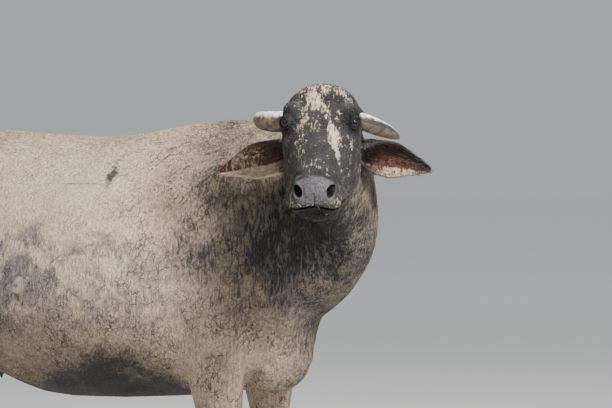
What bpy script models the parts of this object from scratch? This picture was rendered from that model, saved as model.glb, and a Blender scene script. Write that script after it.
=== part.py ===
"""A water buffalo cow, life size, standing square with her head turned to her right.

Metres. +X is forward, +Y is her left, +Z is up, and the hooves stand on z = 0.
The flesh is modelled whole, from lofts and muscle forms that one remesh fuses, and is then
parted into torso, neck, head, tail and legs by thin cuts.
"""

import math

import bmesh
import bpy
import numpy as np
from mathutils import Matrix, Vector

# Driving dimensions
GAP = 0.0003
FLESH_VOXEL = 0.006
HEAD_TRIANGLES = 3200
BODY_TRIANGLES = 3400
LIMB_TRIANGLES = 2000
SHARP = math.radians(50)

# Head frame: its origin is the top of the poll, and it is turned right and nods down.
POLL = Vector((0.772, -0.322, 1.4105))
HEAD_TURN = math.radians(70)
HEAD_NOD = math.radians(30)

# Eyes, in the head frame: along the nose, to the left, up from the face
EYE_PLACE = Vector((0.148, 0.082, -0.036))
EYE_RADIUS = 0.020
LID_DEPTH = 0.0042
LID_OPENING = (0.0165, 0.0110)

# Trunk: x, top, bottom, half width, height of the widest point, roof and keel exponents
TRUNK_ROWS = [
    (-0.812, 1.100, 0.985, 0.045, 1.050, 1.00, 1.00),
    (-0.780, 1.155, 0.900, 0.105, 1.030, 1.00, 1.00),
    (-0.700, 1.218, 0.790, 0.170, 1.020, 1.00, 1.00),
    (-0.600, 1.262, 0.705, 0.212, 1.030, 1.05, 1.00),
    (-0.480, 1.288, 0.640, 0.240, 1.040, 1.00, 1.00),
    (-0.340, 1.284, 0.570, 0.275, 0.930, 1.05, 0.95),
    (-0.180, 1.272, 0.528, 0.322, 0.870, 1.10, 0.92),
    (0.000, 1.270, 0.525, 0.345, 0.840, 1.12, 0.90),
    (0.150, 1.286, 0.532, 0.330, 0.835, 1.20, 0.92),
    (0.280, 1.310, 0.542, 0.292, 0.850, 1.30, 0.95),
    (0.400, 1.317, 0.556, 0.252, 0.880, 1.35, 1.00),
    (0.500, 1.308, 0.590, 0.212, 0.900, 1.25, 1.00),
    (0.570, 1.262, 0.665, 0.165, 0.930, 1.10, 1.00),
    (0.618, 1.160, 0.780, 0.095, 0.960, 1.00, 1.00),
]

# Neck: centre x, y, z, half width, rise above and drop below the centre
NECK_ROWS = [
    (0.340, 0.000, 1.010, 0.175, 0.285, 0.300),
    (0.490, 0.000, 1.005, 0.178, 0.285, 0.285),
    (0.610, -0.002, 1.030, 0.155, 0.265, 0.235),
    (0.700, -0.050, 1.075, 0.112, 0.240, 0.170),
    (0.741, -0.154, 1.150, 0.088, 0.195, 0.132),
    (0.764, -0.245, 1.225, 0.085, 0.152, 0.118),
    (0.777, -0.330, 1.285, 0.083, 0.098, 0.100),
]

# Head, in its frame: along the nose, top, bottom, half width, height of the widest point,
# roof and keel exponents
HEAD_ROWS = [
    (-0.030, -0.050, -0.150, 0.060, -0.100, 1.00, 1.00),
    (0.000, -0.018, -0.195, 0.088, -0.095, 0.95, 0.95),
    (0.050, 0.000, -0.222, 0.102, -0.090, 0.95, 0.85),
    (0.100, 0.004, -0.238, 0.105, -0.095, 0.90, 0.78),
    (0.150, 0.002, -0.244, 0.102, -0.100, 0.88, 0.72),
    (0.200, -0.006, -0.236, 0.096, -0.110, 0.85, 0.70),
    (0.260, -0.014, -0.214, 0.084, -0.115, 0.85, 0.75),
    (0.320, -0.020, -0.186, 0.070, -0.115, 0.88, 0.82),
    (0.380, -0.026, -0.166, 0.063, -0.118, 0.90, 0.85),
    (0.420, -0.034, -0.158, 0.062, -0.118, 0.92, 0.85),
    (0.446, -0.046, -0.150, 0.056, -0.116, 0.92, 0.85),
    (0.458, -0.062, -0.136, 0.044, -0.112, 0.92, 0.85),
]

# Legs: height, x, distance from the middle plane, half length and half width
FORELEG_ROWS = [
    (0.900, 0.385, 0.130, 0.100, 0.070),
    (0.800, 0.372, 0.165, 0.112, 0.078),
    (0.700, 0.378, 0.182, 0.106, 0.074),
    (0.620, 0.392, 0.190, 0.089, 0.066),
    (0.540, 0.404, 0.193, 0.072, 0.058),
    (0.460, 0.412, 0.195, 0.054, 0.049),
    (0.400, 0.418, 0.195, 0.051, 0.050),
    (0.355, 0.416, 0.195, 0.043, 0.042),
    (0.300, 0.412, 0.195, 0.031, 0.030),
    (0.210, 0.411, 0.195, 0.030, 0.029),
    (0.158, 0.414, 0.195, 0.041, 0.038),
    (0.118, 0.426, 0.196, 0.034, 0.037),
    (0.085, 0.438, 0.197, 0.042, 0.049),
    (0.030, 0.446, 0.198, 0.046, 0.053),
]
HINDLEG_ROWS = [
    (0.980, -0.570, 0.110, 0.200, 0.090),
    (0.860, -0.545, 0.142, 0.195, 0.098),
    (0.750, -0.520, 0.160, 0.165, 0.090),
    (0.660, -0.548, 0.168, 0.118, 0.070),
    (0.580, -0.610, 0.168, 0.082, 0.054),
    (0.520, -0.662, 0.165, 0.066, 0.047),
    (0.465, -0.694, 0.162, 0.058, 0.044),
    (0.410, -0.694, 0.160, 0.043, 0.038),
    (0.330, -0.686, 0.160, 0.033, 0.031),
    (0.230, -0.678, 0.160, 0.031, 0.030),
    (0.168, -0.674, 0.160, 0.042, 0.039),
    (0.122, -0.660, 0.160, 0.034, 0.037),
    (0.088, -0.645, 0.161, 0.042, 0.049),
    (0.030, -0.636, 0.162, 0.046, 0.053),
]
# How far each leg is stepped forward of its rows
STEP = {"foreleg_right": 0.0, "foreleg_left": -0.055, "hindleg_right": -0.045, "hindleg_left": 0.055}

# Tail: x, z and radius, hanging in the middle plane
TAIL_ROWS = [
    (-0.720, 1.170, 0.040),
    (-0.790, 1.155, 0.038),
    (-0.838, 1.105, 0.033),
    (-0.858, 1.010, 0.026),
    (-0.862, 0.880, 0.020),
    (-0.858, 0.720, 0.016),
    (-0.852, 0.560, 0.013),
    (-0.848, 0.470, 0.011),
]
SWITCH_TOP = 0.560
SWITCH_LOCKS = 20
SWITCH_SEED = 5

# Hooves: two claws a foot, cut level under a coronet that slopes back to the heel
CORONET_HEIGHT = 0.062
CORONET_SLOPE = 0.22
CLAW_WIDTH = 0.027
CLAW_SPACE = 0.0020
# Reach of a claw ahead of and behind the foot's middle, on the ground and at the coronet
CLAW_GROUND = (0.076, 0.056)
CLAW_TOP = (0.040, 0.047)

# Ear, in the head frame: base, the way each side's points, the way its cup opens, and its length
EAR_BASE = Vector((0.045, 0.070, -0.178))
EAR_OUT = {1: Vector((-0.320, 0.820, -0.445)), -1: Vector((-0.240, 0.860, -0.425))}
EAR_OPENS = Vector((0.90, 0.38, 0.28))
EAR_LENGTH = 0.255
EAR_THICKNESS = 0.0065
EAR_COLUMNS = 12
# Share of the length, half width of the leaf, and how far round its cup curls
EAR_ROWS = [
    (0.00, 0.026, 165),
    (0.08, 0.032, 150),
    (0.16, 0.038, 128),
    (0.25, 0.042, 106),
    (0.35, 0.045, 86),
    (0.47, 0.047, 70),
    (0.57, 0.044, 58),
    (0.67, 0.038, 50),
    (0.77, 0.029, 42),
    (0.87, 0.020, 36),
    (0.95, 0.012, 30),
    (1.00, 0.005, 24),
]

COLOURS = {
    "skin": ((0.16, 0.14, 0.13), 0.75),
    "horn": ((0.45, 0.40, 0.30), 0.5),
    "claw": ((0.05, 0.045, 0.04), 0.5),
    "eye": ((0.03, 0.012, 0.008), 0.08),
    "hair": ((0.03, 0.027, 0.025), 0.7),
}


def clear_scene():
    for old in list(bpy.data.objects):
        bpy.data.objects.remove(old)


def new_collection(name, hidden=False):
    made = bpy.data.collections.new(name)
    bpy.context.scene.collection.children.link(made)
    made.hide_render = hidden
    return made


def material(name):
    """The named finish, made at its first use."""
    if name in bpy.data.materials:
        return bpy.data.materials[name]
    colour, roughness = COLOURS[name]
    made = bpy.data.materials.new(name)
    made.use_nodes = True
    shader = made.node_tree.nodes["Principled BSDF"]
    shader.inputs["Base Color"].default_value = (*colour, 1)
    shader.inputs["Roughness"].default_value = roughness
    shader.inputs["Metallic"].default_value = 0.0
    return made


def add_object(bm, name, collection):
    mesh = bpy.data.meshes.new(name)
    bm.to_mesh(mesh)
    bm.free()
    made = bpy.data.objects.new(name, mesh)
    collection.objects.link(made)
    return made


def finish(obj, name, finish_name):
    obj.name = name
    obj.data.name = name
    obj.data.materials.clear()
    obj.data.materials.append(material(finish_name))
    obj.data.shade_smooth()
    obj.data.set_sharp_from_angle(angle=SHARP)


def apply_modifiers(obj):
    graph = bpy.context.evaluated_depsgraph_get()
    mesh = bpy.data.meshes.new_from_object(obj.evaluated_get(graph))
    old = obj.data
    obj.modifiers.clear()
    obj.data = mesh
    bpy.data.meshes.remove(old)


def boolean(obj, other, operation, solver="EXACT"):
    cut = obj.modifiers.new("cut", "BOOLEAN")
    cut.operation = operation
    cut.object = other
    cut.solver = solver
    apply_modifiers(obj)


def copy_of(obj, collection):
    made = obj.copy()
    made.data = obj.data.copy()
    collection.objects.link(made)
    return made


def grown(obj, distance, collection):
    """A copy of obj whose skin stands that far out, to cut a neighbour clear of it."""
    made = copy_of(obj, collection)
    swell = made.modifiers.new("swell", "DISPLACE")
    swell.strength = distance
    swell.mid_level = 0
    apply_modifiers(made)
    return made


def keep_largest(obj):
    """Drops every loose scrap, so that the node is one closed surface."""
    bm = bmesh.new()
    bm.from_mesh(obj.data)
    left = set(bm.verts)
    shells = []
    while left:
        shell = [left.pop()]
        for vert in shell:
            for edge in vert.link_edges:
                other = edge.other_vert(vert)
                if other in left:
                    left.remove(other)
                    shell.append(other)
        shells.append(shell)
    shells.sort(key=len)
    for shell in shells[:-1]:
        bmesh.ops.delete(bm, geom=shell, context="VERTS")
    bm.to_mesh(obj.data)
    bm.free()


def smooth_rows(rows, steps):
    """The rows with Catmull-Rom steps between them."""
    rows = np.array(rows, float)
    ends = [2 * rows[0] - rows[1], *rows, 2 * rows[-1] - rows[-2]]
    made = []
    for a, b, c, d in zip(ends, ends[1:], ends[2:], ends[3:]):
        for t in np.arange(steps) / steps:
            bend = (c - a) * t + (2 * a - 5 * b + 4 * c - d) * t**2 + (3 * b - a - 3 * c + d) * t**3
            made.append(b + bend / 2)
    return [*made, rows[-1]]


def section(centre, side, up, half_width, rise, drop, roof=1.0, keel=1.0, points=32):
    """A ring round centre. An exponent under 1 is boxier than an ellipse, and over 1 more pinched."""
    ring = []
    for k in range(points):
        c, s = math.cos(math.tau * k / points), math.sin(math.tau * k / points)
        across = half_width * math.copysign(abs(c) ** (roof if s > 0 else keel), c)
        ring.append(centre + side * across + up * (rise if s > 0 else drop) * s)
    return ring


def loft(name, rings, collection):
    """A closed mesh through rings of equal point counts, capped at both ends."""
    bm = bmesh.new()
    loops = [[bm.verts.new(point) for point in ring] for ring in rings]
    for low, high in zip(loops, loops[1:]):
        for k in range(len(low)):
            n = (k + 1) % len(low)
            bm.faces.new((low[k], low[n], high[n], high[k]))
    bm.faces.new(reversed(loops[0]))
    bm.faces.new(loops[-1])
    bmesh.ops.recalc_face_normals(bm, faces=bm.faces)
    return add_object(bm, name, collection)


def blob(centre, radii, collection, turn=(0, 0, 0), frame=None):
    """An ellipsoid, such as a muscle belly or a bony knob, turned by degrees about its own axes."""
    place = Matrix.Translation(Vector(centre))
    for axis, angle in zip("XYZ", turn):
        place = place @ Matrix.Rotation(math.radians(angle), 4, axis)
    place = place @ Matrix.Diagonal((*radii, 1))
    if frame is not None:
        place = frame @ place
    bm = bmesh.new()
    bmesh.ops.create_uvsphere(bm, u_segments=24, v_segments=14, radius=1, matrix=place)
    bmesh.ops.recalc_face_normals(bm, faces=bm.faces)
    return add_object(bm, "form", collection)


def pair(centre, radii, collection, turn=(0, 0, 0), frame=None):
    """The same form on the left and, mirrored, on the right."""
    x, y, z = centre
    about_x, about_y, about_z = turn
    blob((x, y, z), radii, collection, turn, frame)
    blob((x, -y, z), radii, collection, (-about_x, about_y, -about_z), frame)


def head_frame():
    """Columns: along the nose, to her left, and up from the face."""
    ahead = Vector((math.cos(HEAD_TURN), -math.sin(HEAD_TURN), 0))
    nose = ahead * math.cos(HEAD_NOD) - Vector((0, 0, math.sin(HEAD_NOD)))
    up = ahead * math.sin(HEAD_NOD) + Vector((0, 0, math.cos(HEAD_NOD)))
    left = up.cross(nose)
    frame = Matrix((nose, left, up)).transposed().to_4x4()
    frame.translation = POLL
    return frame


def add_trunk(forms):
    rings = []
    for x, top, bottom, half, widest, roof, keel in smooth_rows(TRUNK_ROWS, 5):
        centre = Vector((x, 0, widest))
        rings.append(
            section(centre, Vector((0, 1, 0)), Vector((0, 0, 1)), half, top - widest, widest - bottom, roof, keel)
        )
    loft("trunk", rings, forms)
    # Hip bones, pin bones, shoulder blades, upper arms, breast, brisket, haunches and stifles
    pair((-0.465, 0.158, 1.178), (0.112, 0.066, 0.056), forms, turn=(-14, 0, 0))
    pair((-0.762, 0.074, 1.078), (0.062, 0.036, 0.046), forms)
    pair((0.380, 0.172, 1.030), (0.110, 0.058, 0.205), forms, turn=(10, 22, 0))
    pair((0.345, 0.195, 0.860), (0.145, 0.072, 0.135), forms, turn=(0, 25, 0))
    pair((0.492, 0.140, 0.840), (0.090, 0.080, 0.130), forms, turn=(0, 30, 0))
    blob((0.468, 0.0, 0.700), (0.118, 0.140, 0.152), forms, turn=(0, -20, 0))
    pair((-0.585, 0.125, 0.950), (0.190, 0.115, 0.220), forms, turn=(0, -12, 0))
    pair((-0.430, 0.175, 0.770), (0.095, 0.068, 0.120), forms, turn=(0, 25, 0))
    # Fold of skin from the stifle to the belly
    pair((-0.340, 0.185, 0.715), (0.160, 0.040, 0.060), forms, turn=(0, 22, 0))


def add_udder(forms):
    blob((-0.450, 0.0, 0.632), (0.115, 0.100, 0.065), forms)
    for x in (-0.495, -0.410):
        pair((x, 0.046, 0.572), (0.013, 0.013, 0.032), forms)


def add_neck(forms):
    rows = smooth_rows(NECK_ROWS, 5)
    centres = [Vector(row[:3]) for row in rows]
    rings = []
    for k, row in enumerate(rows):
        along = centres[min(k + 1, len(rows) - 1)] - centres[max(k - 1, 0)]
        side = Vector((0, 0, 1)).cross(along).normalized()
        up = along.normalized().cross(side)
        rings.append(section(centres[k], side, up, row[3], row[4], row[5], 1.15, 1.05))
    loft("neck", rings, forms)


def add_head(forms, frame):
    nose, left, up = (frame.col[k].to_3d() for k in range(3))
    rings = []
    for a, top, bottom, half, widest, roof, keel in smooth_rows(HEAD_ROWS, 4):
        centre = frame @ Vector((a, 0, widest))
        rings.append(section(centre, left, up, half, top - widest, widest - bottom, roof, keel))
    loft("skull", rings, forms)
    # Forehead, brows, orbits, cheekbones, jaw muscles, cheeks, muzzle, nostril wings, lips and chin
    blob((0.055, 0, -0.062), (0.095, 0.100, 0.076), forms, frame=frame)
    pair((0.125, 0.076, -0.016), (0.046, 0.026, 0.022), forms, turn=(0, 0, -12), frame=frame)
    pair((0.145, 0.072, -0.050), (0.048, 0.038, 0.040), forms, frame=frame)
    pair((0.205, 0.070, -0.085), (0.070, 0.026, 0.030), forms, turn=(0, 8, -18), frame=frame)
    pair((0.165, 0.068, -0.172), (0.105, 0.034, 0.064), forms, turn=(0, 12, -6), frame=frame)
    pair((0.270, 0.052, -0.135), (0.110, 0.028, 0.048), forms, turn=(0, 8, -10), frame=frame)
    blob((0.400, 0, -0.080), (0.055, 0.056, 0.050), forms, frame=frame)
    pair((0.418, 0.032, -0.072), (0.034, 0.023, 0.027), forms, turn=(0, 20, -14), frame=frame)
    pair((0.388, 0.046, -0.120), (0.052, 0.025, 0.026), forms, turn=(0, 4, -14), frame=frame)
    blob((0.400, 0, -0.152), (0.044, 0.050, 0.024), forms, turn=(0, -6, 0), frame=frame)
    # Roots of the horns and ears, and the mass of the lids
    pair((0.052, 0.086, -0.085), (0.042, 0.034, 0.034), forms, frame=frame)
    pair((0.045, 0.074, -0.175), (0.042, 0.034, 0.044), forms, frame=frame)
    pair(EYE_PLACE, (EYE_RADIUS + LID_DEPTH,) * 3, forms, frame=frame)


def add_leg(rows, step, side, forms):
    """side is 1 on her left and -1 on her right."""
    rings = []
    for z, x, y, half_length, half_width in smooth_rows(rows, 4):
        centre = Vector((x + step * step_share(z), side * y, z))
        rings.append(section(centre, Vector((1, 0, 0)), Vector((0, 1, 0)), half_length, half_width, half_width))
    loft("leg", rings, forms)


def step_share(z):
    """A step moves the foot in full and the top of the leg not at all."""
    return min(1.0, max(0.0, (0.95 - z) / 0.85))


def add_legs(forms):
    for name, step in STEP.items():
        side = 1 if name.endswith("left") else -1
        fore = name.startswith("fore")
        add_leg(FORELEG_ROWS if fore else HINDLEG_ROWS, step, side, forms)
        fetlock_x = (FORELEG_ROWS if fore else HINDLEG_ROWS)[10][1]
        for out in (-0.022, 0.022):
            centre = (fetlock_x - 0.040 + step * 0.95, side * 0.178 + out, 0.125)
            blob(centre, (0.016, 0.013, 0.022), forms, turn=(0, -20, 0))
        if fore:
            # Elbow and the back of the knee
            centre = (0.290 + step * step_share(0.72), side * 0.190, 0.735)
            blob(centre, (0.045, 0.036, 0.050), forms)
            centre = (0.380 + step * step_share(0.4), side * 0.195, 0.390)
            blob(centre, (0.022, 0.022, 0.030), forms)
        else:
            # Point of the hock and the tendon above it
            centre = (-0.748 + step * step_share(0.5), side * 0.163, 0.505)
            blob(centre, (0.028, 0.022, 0.040), forms, turn=(0, 15, 0))
            centre = (-0.698 + step * step_share(0.6), side * 0.165, 0.600)
            blob(centre, (0.030, 0.022, 0.115), forms, turn=(0, 24, 0))


def tail_ring(x, z, radius, points=16):
    return section(Vector((x, 0, z)), Vector((1, 0, 0)), Vector((0, 1, 0)), radius, radius, radius, points=points)


def add_tail(forms):
    rows = smooth_rows(TAIL_ROWS, 4)
    centres = [Vector((x, 0, z)) for x, z, _ in rows]
    rings = []
    for k, row in enumerate(rows):
        along = centres[min(k + 1, len(rows) - 1)] - centres[max(k - 1, 0)]
        side = Vector((0, 1, 0))
        up = along.normalized().cross(side)
        rings.append(section(centres[k], side, up, row[2], row[2], row[2], points=16))
    loft("tail", rings, forms)


def joined(collection, name):
    """All the objects of a collection as one object."""
    objects = list(collection.objects)
    with bpy.context.temp_override(
        active_object=objects[0], object=objects[0], selected_objects=objects, selected_editable_objects=objects
    ):
        bpy.ops.object.join()
    objects[0].name = name
    return objects[0]


def points_of(obj):
    flat = np.empty(len(obj.data.vertices) * 3, np.float32)
    obj.data.vertices.foreach_get("co", flat)
    return flat.reshape(-1, 3).astype(float)


def normals_of(obj):
    flat = np.empty(len(obj.data.vertices) * 3, np.float32)
    obj.data.vertex_normals.foreach_get("vector", flat)
    return flat.reshape(-1, 3).astype(float)


def set_points(obj, points):
    obj.data.vertices.foreach_set("co", points.astype(np.float32).ravel())
    obj.data.update()


def in_frame(points, frame):
    back = np.array(frame.inverted())
    return points @ back[:3, :3].T + back[:3, 3]


def out_of_frame(points, frame):
    there = np.array(frame)
    return points @ there[:3, :3].T + there[:3, 3]


def weigh(obj, name, weights):
    """A vertex group with a weight for every vertex, in steps of a tenth."""
    group = obj.vertex_groups.new(name=name)
    tenths = np.round(weights * 10).astype(int)
    for tenth in range(1, 11):
        group.add(np.flatnonzero(tenths == tenth).tolist(), tenth / 10, "REPLACE")
    return group


def fade(distance, near, far):
    """1 up to near, 0 past far, and smooth between."""
    t = np.clip((distance - near) / (far - near), 0, 1)
    return 1 - t * t * (3 - 2 * t)


def press(local, centre, radii, push):
    """Moves the points inside an ellipsoid, most at its middle."""
    reach = np.linalg.norm((local - np.array(centre)) / np.array(radii), axis=1)
    local += np.clip(1 - reach**2, 0, 1)[:, None] ** 1.5 * np.array(push)


def near_line(local, line):
    """Each point's distance from a polyline."""
    best = np.full(len(local), np.inf)
    for a, b in zip(line, line[1:]):
        a, b = np.array(a), np.array(b)
        t = np.clip((local - a) @ (b - a) / ((b - a) @ (b - a)), 0, 1)
        best = np.minimum(best, np.linalg.norm(local - (a + t[:, None] * (b - a)), axis=1))
    return best


def mouth_line():
    """The parting of the lips, from corner to corner round the front of the muzzle."""
    half = [
        (0.458, 0.0, -0.104),
        (0.455, 0.018, -0.108),
        (0.446, 0.038, -0.118),
        (0.426, 0.057, -0.131),
        (0.395, 0.068, -0.139),
        (0.350, 0.072, -0.142),
    ]
    mirrored = [(a, -s, u) for a, s, u in reversed(half[1:])]
    return mirrored + half


def carve_head(obj, frame):
    """Nostrils, the line of the mouth and the hollows of the face, pressed into the fused flesh."""
    local = in_frame(points_of(obj), frame)
    normals = normals_of(obj) @ np.array(frame)[:3, :3]
    depth = 0.007 * fade(near_line(local, mouth_line()), 0.001, 0.009)
    local -= normals * depth[:, None]
    for side in (-1, 1):
        press(local, (0.446, side * 0.037, -0.070), (0.024, 0.013, 0.017), (-0.022, -side * 0.004, 0.002))
        press(local, (0.440, side * 0.049, -0.060), (0.020, 0.010, 0.010), (-0.012, -side * 0.005, 0))
        # Hollow in front of and under the eye, and the groove over the muzzle
        press(local, (0.215, side * 0.092, -0.045), (0.050, 0.030, 0.026), (0, -side * 0.007, 0))
        press(local, (0.100, side * 0.110, -0.100), (0.050, 0.030, 0.030), (0, -side * 0.006, 0))
    set_points(obj, out_of_frame(local, frame))


def fused_flesh(work, frame):
    """Trunk, neck, head, legs and tail as one closed skin."""
    forms = new_collection("forms", hidden=True)
    add_trunk(forms)
    add_udder(forms)
    add_neck(forms)
    add_head(forms, frame)
    add_legs(forms)
    add_tail(forms)
    flesh = joined(forms, "flesh")
    work.objects.link(flesh)
    forms.objects.unlink(flesh)
    fuse = flesh.modifiers.new("fuse", "REMESH")
    fuse.mode = "VOXEL"
    fuse.voxel_size = FLESH_VOXEL
    apply_modifiers(flesh)

    points = points_of(flesh)
    soft = np.clip(1 - near_head(points, frame), 0.1, 1) * (1 - 0.9 * on_limbs(points))
    weigh(flesh, "soft", soft)
    ease = flesh.modifiers.new("ease", "SMOOTH")
    ease.factor = 0.5
    ease.iterations = 110
    ease.vertex_group = "soft"
    apply_modifiers(flesh)
    carve_head(flesh, frame)
    return flesh


def near_head(points, frame):
    return fade(np.linalg.norm(points - np.array(frame @ Vector((0.20, 0, -0.10))), axis=1), 0.24, 0.34)


def on_limbs(points):
    """Nearly 1 on the legs, teats and tail, where forms are small, and 0 on the body."""
    x, y, z = points.T
    under = fade(z, 0.50, 0.64)
    behind = fade(x, -0.84, -0.80)
    return np.maximum(under, behind)


def thin_out(flesh, frame):
    """Fewer triangles, with their own number for the head, for the legs and tail, and for the body."""
    flesh.vertex_groups.clear()
    sharers = (("head", HEAD_TRIANGLES), ("limbs", LIMB_TRIANGLES), ("body", BODY_TRIANGLES))
    for share, triangles in sharers:
        points = points_of(flesh)
        head = near_head(points, frame) > 0.5
        limbs = on_limbs(points) > 0.5
        chosen = {"head": head, "limbs": limbs & ~head, "body": ~limbs & ~head}[share]
        weigh(flesh, share, chosen.astype(float))
        flesh.data.calc_loop_triangles()
        corners = np.empty(len(flesh.data.loop_triangles) * 3, np.int32)
        flesh.data.loop_triangles.foreach_get("vertices", corners)
        inside = chosen[corners.reshape(-1, 3)].any(axis=1)
        thin = flesh.modifiers.new("thin", "DECIMATE")
        thin.ratio = (triangles + (~inside).sum()) / len(inside)
        thin.vertex_group = share
        thin.use_collapse_triangulate = True
        apply_modifiers(flesh)
        flesh.vertex_groups.clear()


def slab_box(name, point, normal, size, collection):
    """A large box whose face lies in the plane, on the side that normal points to."""
    turn = Vector(normal).to_track_quat("Z", "X").to_matrix().to_4x4()
    place = Matrix.Translation(Vector(point)) @ turn @ Matrix.Translation((0, 0, size / 2))
    bm = bmesh.new()
    bmesh.ops.create_cube(bm, size=size, matrix=place)
    return add_object(bm, name, collection)


def split_by_plane(whole, point, normal, work):
    """Takes off what lies beyond the plane and returns it as an object of its own."""
    normal = Vector(normal).normalized()
    beyond = copy_of(whole, work)
    near_box = slab_box("near", Vector(point) - normal * GAP / 2, normal, 3.0, work)
    far_box = slab_box("far", Vector(point) + normal * GAP / 2, normal, 3.0, work)
    boolean(whole, near_box, "DIFFERENCE")
    boolean(beyond, far_box, "INTERSECT")
    for box in (near_box, far_box):
        bpy.data.objects.remove(box)
    return beyond


def column(rows, step, side, grow, work):
    """A round-topped column about a leg: height, x, distance out, half length and half width."""
    rings = []
    for z, x, y, half_length, half_width in rows:
        centre = Vector((x + step * step_share(z), side * y, z))
        rings.append(
            section(
                centre, Vector((1, 0, 0)), Vector((0, 1, 0)), half_length + grow, half_width + grow, half_width + grow
            )
        )
    rings[-1] = [point + Vector((0, 0, grow)) for point in rings[-1]]
    return loft("column", rings, work)


FORELEG_COLUMN = [
    (-0.050, 0.400, 0.200, 0.150, 0.120),
    (0.500, 0.390, 0.195, 0.140, 0.125),
    (0.600, 0.385, 0.195, 0.130, 0.120),
    (0.660, 0.385, 0.200, 0.105, 0.100),
    (0.700, 0.385, 0.205, 0.060, 0.060),
]
HINDLEG_COLUMN = [
    (-0.050, -0.660, 0.165, 0.180, 0.130),
    (0.420, -0.660, 0.165, 0.180, 0.130),
    (0.560, -0.590, 0.180, 0.220, 0.135),
    (0.680, -0.540, 0.190, 0.200, 0.130),
    (0.760, -0.520, 0.195, 0.160, 0.110),
    (0.800, -0.515, 0.200, 0.090, 0.070),
]


def part_leg(torso, name, work):
    side = 1 if name.endswith("left") else -1
    rows = FORELEG_COLUMN if name.startswith("fore") else HINDLEG_COLUMN
    leg = copy_of(torso, work)
    inner = column(rows, STEP[name], side, 0, work)
    outer = column(rows, STEP[name], side, GAP, work)
    boolean(leg, inner, "INTERSECT")
    boolean(torso, outer, "DIFFERENCE")
    for cutter in (inner, outer):
        bpy.data.objects.remove(cutter)
    keep_largest(leg)
    return leg


def coronet_plane(name):
    """The middle of the foot at the coronet, and the slope of the plane that meets the hoof."""
    side = 1 if name.endswith("left") else -1
    row = (FORELEG_ROWS if name.startswith("fore") else HINDLEG_ROWS)[-1]
    point = Vector((row[1] + STEP[name], side * row[2], CORONET_HEIGHT))
    return point, Vector((-CORONET_SLOPE, 0, 1)).normalized()


def claw(name, foot, inward, nodes):
    """One half of a cloven hoof. inward is 1 if the other claw lies to its +Y side."""
    point, normal = coronet_plane(foot)
    middle = point.y - inward * (CLAW_SPACE / 2 + CLAW_WIDTH * 1.08)
    rings = []
    for level in np.linspace(0, 1, 5):
        ring = []
        ahead = CLAW_GROUND[0] + (CLAW_TOP[0] - CLAW_GROUND[0]) * level
        behind = CLAW_GROUND[1] + (CLAW_TOP[1] - CLAW_GROUND[1]) * level
        for k in range(16):
            angle = math.tau * k / 16
            along, out = math.cos(angle), math.sin(angle)
            x = point.x + along * (ahead if along > 0 else behind)
            width = CLAW_WIDTH * (1.08 - 0.10 * level) * (1 - 0.25 * max(0, along) ** 2)
            y = middle + math.copysign(abs(out) ** 0.8, out) * width
            top = point.z - GAP + (x - point.x) * CORONET_SLOPE
            ring.append(Vector((x, y, top * level)))
        rings.append(ring)
    made = loft(name, rings, nodes)
    finish(made, name, "claw")
    return made


def ear_surface(side):
    """Rows of points over a cupped leaf, from its rolled root to its tip, in the head frame."""
    out = EAR_OUT[side].normalized()
    opens = (EAR_OPENS - out * EAR_OPENS.dot(out)).normalized()
    across = out.cross(opens)
    rows = []
    for t, half, curl in EAR_ROWS:
        curl = math.radians(curl)
        radius = half / math.sin(min(curl, math.pi / 2))
        centre = EAR_BASE + out * (EAR_LENGTH * t)
        row = []
        for c in range(EAR_COLUMNS + 1):
            angle = (2 * c / EAR_COLUMNS - 1) * curl
            deep = radius * (1 - math.cos(angle)) - half * 0.7
            point = centre + across * (radius * math.sin(angle)) + opens * deep
            row.append(Vector((point.x, side * point.y, point.z)))
        rows.append(row)
    return rows


def ear(name, side, frame, neighbours, work, nodes):
    bm = bmesh.new()
    grid = [[bm.verts.new(frame @ point) for point in row] for row in ear_surface(side)]
    for low, high in zip(grid, grid[1:]):
        for k in range(EAR_COLUMNS):
            corners = (low[k], low[k + 1], high[k + 1], high[k])
            bm.faces.new(corners if side < 0 else corners[::-1])
    made = add_object(bm, name, nodes)
    wall = made.modifiers.new("wall", "SOLIDIFY")
    wall.thickness = EAR_THICKNESS
    wall.offset = 0
    apply_modifiers(made)
    for neighbour in neighbours:
        clear = grown(neighbour, GAP, work)
        boolean(made, clear, "DIFFERENCE")
        bpy.data.objects.remove(clear)
    keep_largest(made)
    finish(made, name, "skin")
    return made


# Horns, in the head frame: along the nose, out to the side, up, half width across and thickness
HORN_LEFT_ROWS = [
    (0.060, 0.070, -0.072, 0.030, 0.021),
    (0.052, 0.108, -0.090, 0.028, 0.020),
    (0.026, 0.138, -0.120, 0.025, 0.017),
    (-0.012, 0.162, -0.155, 0.020, 0.014),
    (-0.048, 0.180, -0.188, 0.013, 0.010),
    (-0.076, 0.192, -0.214, 0.005, 0.004),
]
HORN_RIGHT_ROWS = [
    (0.058, 0.070, -0.084, 0.034, 0.027),
    (0.050, 0.104, -0.090, 0.033, 0.026),
    (0.032, 0.138, -0.100, 0.031, 0.025),
    (0.000, 0.163, -0.117, 0.027, 0.021),
    (-0.038, 0.176, -0.138, 0.020, 0.015),
    (-0.074, 0.178, -0.158, 0.008, 0.007),
]


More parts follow.
